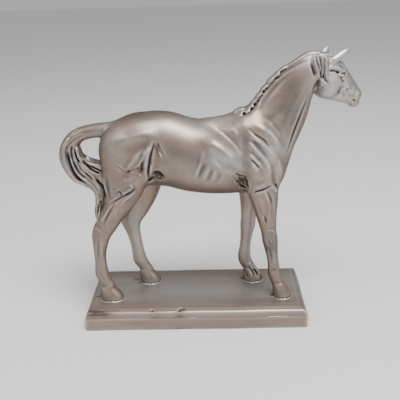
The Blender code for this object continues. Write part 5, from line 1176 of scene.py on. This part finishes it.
def paint(name, group, settings, bump, dulling=1.0, along=1.0):
    """The paint of one piece.

    dulling: how far the metal flake darkens at a slant; this also paints a darker outline where a dark
    surround would be reflected
    along: below 1 it draws the brush marks out lengthwise
    """
    tint = [1 - dulling * (1 - part) for part in settings.slant]
    material = bpy.data.materials.new(name)
    material.use_nodes = True
    tree = material.node_tree
    shader = tree.nodes["Principled BSDF"]
    coat = tree.nodes.new("ShaderNodeGroup")
    coat.node_tree = group
    where = tree.nodes.new("ShaderNodeTexCoord")
    drawn = tree.nodes.new("ShaderNodeMapping")
    drawn.inputs["Scale"].default_value = (along, 1, 1)
    tree.links.new(where.outputs["Object"], drawn.inputs["Vector"])
    tree.links.new(drawn.outputs["Vector"], coat.inputs["Vector"])
    for label in ("Warmth", "Hollow", "Shade", "Ridge", "Stain"):
        layer = tree.nodes.new("ShaderNodeAttribute")
        layer.attribute_name = label.lower()
        tree.links.new(layer.outputs["Fac"], coat.inputs[label])
    for label, tone in (("Silver", settings.silver), ("Champagne", settings.champagne),
                        ("Dull", settings.dull), ("Wash", settings.wash), ("Rubbed", settings.rubbed)):
        coat.inputs[label].default_value = (*tone, 1)
    coat.inputs["Satin"].default_value = settings.roughness - 0.08
    coat.inputs["Flake"].default_value = settings.metallic
    # Painted shade at the outline, partly the flake's own darkening: the colour is multiplied by the slant
    # tint as the surface turns away from the view
    facing = tree.nodes.new("ShaderNodeLayerWeight")
    facing.inputs["Blend"].default_value = SLANT_BLEND
    flop = tree.nodes.new("ShaderNodeMix")
    flop.data_type = "RGBA"
    flop.blend_type = "MULTIPLY"
    flop.inputs[7].default_value = (*tint, 1)
    tree.links.new(facing.outputs["Facing"], flop.inputs["Factor"])
    tree.links.new(coat.outputs["Colour"], flop.inputs[6])
    tree.links.new(flop.outputs[2], shader.inputs["Base Color"])
    shader.inputs["Specular Tint"].default_value = (*tint, 1)
    tree.links.new(coat.outputs["Roughness"], shader.inputs["Roughness"])
    tree.links.new(coat.outputs["Metallic"], shader.inputs["Metallic"])
    relief = tree.nodes.new("ShaderNodeBump")
    relief.inputs["Strength"].default_value = BUMP_STRENGTH
    relief.inputs["Distance"].default_value = bump
    tree.links.new(coat.outputs["Height"], relief.inputs["Height"])
    tree.links.new(relief.outputs["Normal"], shader.inputs["Normal"])
    return material


def paint_group():
    return bpy.data.node_groups.get("Antiqued silver") or antique_paint_group()


# Operators


class BOOKEND_OT_horse(bpy.types.Operator):
    """Model the standing horse with its mane, forelock and tail, and paint it"""
    bl_idname = "bookend.horse"
    bl_label = "Horse"

    def execute(self, context):
        settings = context.scene.bookend_horse
        clay = sculpt(settings.grain)
        points, faces = surface(clay.field, clay.low, clay.cell)
        points, faces = largest_piece(points, faces)
        masks = wear(clay, points, TONE_PLACES)
        masks["warmth"] = stains(points, WARM_PLACES) - stains(points, COOL_PLACES)
        masks["stain"] = stains(points, DARK_PLACES)
        scale = settings.height / DRAWN_HEIGHT
        placed = points * scale
        placed[:, 2] += HORSE_BOX[0].z
        ob = add_mesh("carved_horse", placed, faces, masks, settings.facets)
        colours = context.scene.bookend_paint
        ob.data.materials.append(paint("Horse paint", paint_group(), colours, HORSE_BUMP))
        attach(ob, "root")
        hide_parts("horse")
        return {"FINISHED"}


def rounded_corner(across, up, wide, high, bulge=2.0):
    """Distance in the section plane to a corner rounded over wide and high; a low bulge is nearly a bevel."""
    u, v = across / wide + 1, up / high + 1
    bend = ((np.maximum(u, 0) ** bulge + np.maximum(v, 0) ** bulge) ** (1 / bulge) - 1) * min(wide, high)
    return np.where((u > 0) & (v > 0), bend, np.maximum(across, up))


def plinth_clay(settings, scale):
    """The stepped plinth in millimetres, with the rims, pits and scratches of its casting."""
    length, depth, top = 500 * settings.length, 500 * settings.depth, 1000 * settings.height
    clay = Clay((-length - 2, -depth - 2, -2), (length + 2, depth + 2, top + 3), settings.grain)
    x, y, z = clay.window(clay.low, clay.low + clay.cell * clay.count)[1:]
    corner = 1.8
    wobble = 0.22 * np.sin(x / 23.0 + 0.6) * np.cos(y / 17.0) + 0.12 * np.sin(x / 9.0 + y / 7.0)
    u = np.abs(x) - (length - corner) + wobble * 0.6
    v = np.abs(y) - (depth - corner) + wobble
    plan = np.sqrt(np.maximum(u, 0) ** 2 + np.maximum(v, 0) ** 2) + np.minimum(np.maximum(u, v), 0) - corner
    shoulder = 1000 * (settings.face + settings.shoulder_rise)
    lower = rounded_corner(plan + 0.4, z - shoulder, 1000 * settings.shoulder_inset - 0.4,
                           1000 * settings.shoulder_rise - 0.2, 1.45)
    face = rounded_corner(plan, z - 1000 * settings.face, 0.35, 0.35)
    lower = np.minimum(lower, face)
    step = 1000 * (settings.shoulder_inset + settings.ledge)
    slope = 0.7 * np.clip((z - shoulder) / (top - shoulder), 0, 1)
    bevel = np.clip((np.abs(y) - depth + 8.2) / 2.6, 0, 1)
    line = np.exp(-((np.abs(y) - depth + 8.0) / 0.45) ** 2)
    upper = rounded_corner(plan + step + slope, z - top + 0.15 * wobble + 0.5 * bevel + 0.25 * line, 1.2, 0.9)
    upper = np.maximum(upper, plan + step)
    fillet = 1.3
    h = np.clip(0.5 + 0.5 * (lower - upper) / fillet, 0, 1)
    solid = lower * (1 - h) + upper * h - fillet * h * (1 - h)
    seam = 0.45 * np.exp(-((plan + 0.5) ** 2 + (z - 1000 * settings.face - 0.1) ** 2) / 0.4 ** 2)
    clay.field = np.maximum(solid + seam, -z).astype(np.float32)
    hoof_rims(clay, x, y, z, top, settings, scale)
    scratches(clay, depth)
    return clay


def hoof_rims(clay, x, y, z, top, settings, scale):
    """A thin uneven rim round each hoof, highest on its near and front sides."""
    feet = Clay((-96, -24, -3), (90, 30, 12), 0.6)
    hooves(feet)
    px, py = np.meshgrid(x.ravel(), y.ravel(), indexing="ij")
    flat = np.stack([px.ravel() / scale, py.ravel() / scale, np.full(px.size, 0.4)], 1)
    away = (feet.sample(flat) * scale).reshape(px.shape)[:, :, None]
    front = np.zeros(px.shape)
    nearest = np.full(px.shape, 1e9)
    for first, last, stations, foot in LEGS.values():
        dx, dy = px - foot[1][0] * scale, py - last * scale
        d = np.hypot(dx, dy)
        front = np.where(d < nearest, (0.5 * dx - 0.85 * dy) / np.maximum(d, 1), front)
        nearest = np.minimum(nearest, d)
    front = np.clip(0.55 + 0.6 * front, 0.1, 1)[:, :, None]
    rough = 1 + 0.45 * np.sin(1.7 * x + 0.9 * y) * np.cos(1.1 * y - 0.6 * x)
    rim = 1300 * settings.rim * front * rough * np.exp(-((away - 0.7) / 0.42) ** 2)
    moat = 0.16 * np.exp(-((away - 2.0) / 0.7) ** 2)
    near_top = np.clip((z - top + 3) / 2, 0, 1)
    clay.field -= ((rim - moat) * near_top).astype(np.float32)


# Marks of the casting in the front view: x, z, width, depth
FRONT_MARKS = [
    ([(-32.4, 14.0), (-30.4, 12.4), (-28.6, 10.6)], 0.6, 0.9),
    ([(-29.4, 10.2), (-27.2, 12.2), (-25.4, 13.2)], 0.5, 0.8),
    ([(-30.6, 11.0), (-27.4, 11.4), (-24.4, 10.8)], 0.5, 0.6),
    ([(-21.0, 10.4), (-17.4, 12.0), (-14.4, 12.6)], 0.5, 0.6),
    ([(-14.6, 8.8), (-12.8, 11.0), (-11.0, 13.4), (-9.0, 15.4)], 0.6, 1.1),
    ([(-13.4, 13.0), (-11.6, 12.4)], 0.5, 0.7), ([(30.6, 9.2), (32.4, 7.4)], 0.5, 0.7),
    ([(12.0, 10.8), (18.0, 11.4)], 0.4, 0.35), ([(-66.0, 11.6), (-52.0, 12.4), (-40.0, 12.2)], 0.6, 0.35),
    ([(-60.0, 5.4), (-44.0, 5.9)], 0.4, 0.3), ([(40.0, 11.2), (56.0, 11.6)], 0.5, 0.35),
    ([(4.0, 4.6), (22.0, 4.9)], 0.4, 0.25),
]
PITS = [(-43.4, 9.4, 1.0), (-46.8, 13.6, 0.6), (-75.4, -9.6, 0.6), (-8.6, -28.6, 0.9), (36.0, 12.6, 0.8),
        (49.4, 12.2, 0.8), (38.4, 16.0, 0.7), (57.0, -13.4, 0.9), (-35.0, 15.2, 0.5), (22.0, -4.0, 0.4),
        (-8.0, -12.0, 0.4)]


def scratches(clay, depth):
    for points, width, cut in FRONT_MARKS:
        stroke(clay, NEAR, points, width, cut, edge=depth - 7, soft=2.0, fade=0.3)
    for x, y, r in PITS:
        ball(clay, (x, y, 15.3), (r, r, 0.9), 0.2, cut=True)


# Stains of the plinth in millimetres: centre, reach, strength
PLINTH_WARM = [
    ((-62, -30, 11), (18, 8, 6), 1.0), ((-76, 0, 8), (8, 40, 8), 0.5), ((0, -30, 12), (60, 10, 5), 0.35),
    ((60, -30, 12), (30, 10, 6), 0.4),
]
PLINTH_COOL = [((0, 0, 16), (160, 28, 3), 0.5)]
# Brown stains round the pits and at the left corner; the rows at z = 0 darken the foot of the front and back
# faces, a painted shade
PLINTH_DARK = [
    ((-70, -30, 13.4), (12, 5, 3.0), 0.95), ((-8.8, -29, 15), (2.0, 2.0, 3), 0.9),
    ((-43.6, 9.4, 15), (3, 3, 3), 0.9), ((57.0, -13.4, 15), (3, 3, 3), 0.9),
    ((-73, -11, 15), (5, 3, 3), 0.5), ((36.5, 13.5, 15), (3, 4, 3), 0.8),
    ((49.4, 12.2, 15), (3, 3, 3), 0.8), ((-47, 13.6, 15), (3, 3, 3), 0.6),
    ((-12, -31, 11), (4, 6, 3), 0.55), ((-28, -31, 12), (6, 6, 3), 0.55), ((0, -34, 0), (100, 3, 1.6), 0.5),
    ((0, 34, 0), (100, 3, 1.6), 0.5), ((0, -25.5, 15.3), (70, 0.8, 2), 0.35),
]
# Painted light and shade of the plinth: the plateau painted lighter, a painted highlight along the front
# shoulder, painted shade low on the front face
PLINTH_TONES = [((0, 0, 16), (160, 26, 3), 0.62), ((0, -32.4, 12.4), (100, 4, 2.0), 0.45),
                ((0, -34, 5), (100, 4, 4), -0.30)]


class BOOKEND_OT_plinth(bpy.types.Operator):
    """Model the stepped plinth with a rim round each hoof, and paint it"""
    bl_idname = "bookend.plinth"
    bl_label = "Plinth"

    def execute(self, context):
        settings = context.scene.bookend_plinth
        scale = 1000 * context.scene.bookend_horse.height / DRAWN_HEIGHT
        clay = plinth_clay(settings, scale)
        points, faces = surface(clay.field, clay.low, clay.cell)
        points, faces = largest_piece(points, faces)
        masks = wear(clay, points, PLINTH_TONES)
        masks["shade"] *= 0.6
        masks["ridge"] *= 0.7
        masks["warmth"] = stains(points, PLINTH_WARM) - stains(points, PLINTH_COOL)
        masks["stain"] = stains(points, PLINTH_DARK)
        ob = add_mesh("cast_plinth", points / 1000, faces, masks, settings.facets)
        colours = context.scene.bookend_paint
        ob.data.materials.append(paint("Plinth paint", paint_group(), colours, PLINTH_BUMP, PLINTH_DULLING,
                                       PLINTH_ALONG))
        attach(ob, "root")
        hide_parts("plinth")
        return {"FINISHED"}


# Camera as fitted to the photograph: place in metres, turns in degrees, lens in millimetres
CAMERA_PLACE = (0.0153, -0.3899, 0.2406)
CAMERA_YAW, CAMERA_PITCH, CAMERA_ROLL = -1.56, 21.55, -1.8
CAMERA_LENS = 52.6


def aim_camera(camera):
    yaw, pitch, roll = (math.radians(a) for a in (CAMERA_YAW, CAMERA_PITCH, CAMERA_ROLL))
    ahead = Vector((math.sin(yaw) * math.cos(pitch), math.cos(yaw) * math.cos(pitch), -math.sin(pitch)))
    right = Vector((math.cos(yaw), -math.sin(yaw), 0))
    up = right.cross(ahead)
    across = math.cos(roll) * right + math.sin(roll) * up
    above = math.cos(roll) * up - math.sin(roll) * right
    turn = Matrix((across, above, -ahead)).transposed().to_4x4()
    camera.matrix_world = Matrix.Translation(Vector(CAMERA_PLACE)) @ turn


def area_light(name, place, target, power, size):
    data = bpy.data.lights.new(name, "AREA")
    data.energy = power
    data.size = size
    light = bpy.data.objects.new(name, data)
    light.location = place
    light.rotation_mode = "QUATERNION"
    light.rotation_quaternion = (Vector(target) - Vector(place)).to_track_quat("-Z", "Y")
    bpy.context.collection.objects.link(light)
    return light


def plain_material(name, colour, roughness):
    material = bpy.data.materials.new(name)
    material.use_nodes = True
    shader = material.node_tree.nodes["Principled BSDF"]
    shader.inputs["Base Color"].default_value = (*colour, 1)
    shader.inputs["Roughness"].default_value = roughness
    return material


class BOOKEND_OT_stage(bpy.types.Operator):
    """Make the pale floor, the studio lights and the camera of the photograph"""
    bl_idname = "bookend.stage"
    bl_label = "Stage"

    def execute(self, context):
        settings = context.scene.bookend_stage
        half = settings.floor / 2
        corners = [(-half, -half, 0), (half, -half, 0), (half, half, 0), (-half, half, 0)]
        mesh = bpy.data.meshes.new("floor")
        mesh.from_pydata(corners, [], [(0, 1, 2, 3)])
        floor = bpy.data.objects.new("floor", mesh)
        mesh.materials.append(plain_material("Floor white", (0.86, 0.86, 0.86), 0.9))
        context.collection.objects.link(floor)
        area_light("key", (0.20, -0.36, 1.05), (0, 0, 0.09), settings.key, 0.45)
        area_light("fill head", (0.75, -0.50, 0.55), (0.02, 0, 0.10), settings.fill, 0.5)
        area_light("fill tail", (-0.70, -0.30, 0.80), (0, 0, 0.10), settings.fill, 0.4)
        world = bpy.data.worlds.new("studio")
        world.use_nodes = True
        sky = world.node_tree.nodes["Background"]
        sky.inputs["Color"].default_value = (1, 1, 1, 1)
        sky.inputs["Strength"].default_value = settings.surround
        context.scene.world = world
        camera = bpy.data.objects.new("camera", bpy.data.cameras.new("camera"))
        context.collection.objects.link(camera)
        camera.data.sensor_width = 36
        camera.data.lens = CAMERA_LENS
        camera.data.clip_start = 0.01
        aim_camera(camera)
        context.scene.camera = camera
        return {"FINISHED"}


class BOOKEND_PT_panel(bpy.types.Panel):
    """Lists the pieces and their settings"""
    bl_idname = "BOOKEND_PT_panel"
    bl_label = "Horse bookend"
    bl_space_type = "VIEW_3D"
    bl_region_type = "UI"
    bl_category = "Horse bookend"

    def draw(self, context):
        for label, group in SETTINGS.items():
            box = self.layout.box()
            for key in group.__annotations__:
                box.prop(getattr(context.scene, label), key)
        for operator in OPERATORS:
            self.layout.operator(operator.bl_idname)


SETTINGS = {"bookend_horse": HorseSettings, "bookend_plinth": PlinthSettings,
            "bookend_paint": PaintSettings, "bookend_stage": StageSettings}
OPERATORS = (BOOKEND_OT_horse, BOOKEND_OT_plinth, BOOKEND_OT_stage)


def register():
    for label, group in SETTINGS.items():
        bpy.utils.register_class(group)
        setattr(bpy.types.Scene, label, bpy.props.PointerProperty(type=group))
    for operator in OPERATORS:
        bpy.utils.register_class(operator)
    bpy.utils.register_class(BOOKEND_PT_panel)


def unregister():
    bpy.utils.unregister_class(BOOKEND_PT_panel)
    for operator in reversed(OPERATORS):
        bpy.utils.unregister_class(operator)
    for label, group in SETTINGS.items():
        delattr(bpy.types.Scene, label)
        bpy.utils.unregister_class(group)


def main():
    register()
    bpy.ops.bookend.stage()
    bpy.ops.bookend.horse()
    bpy.ops.bookend.plinth()


if __name__ == "__main__":
    main()
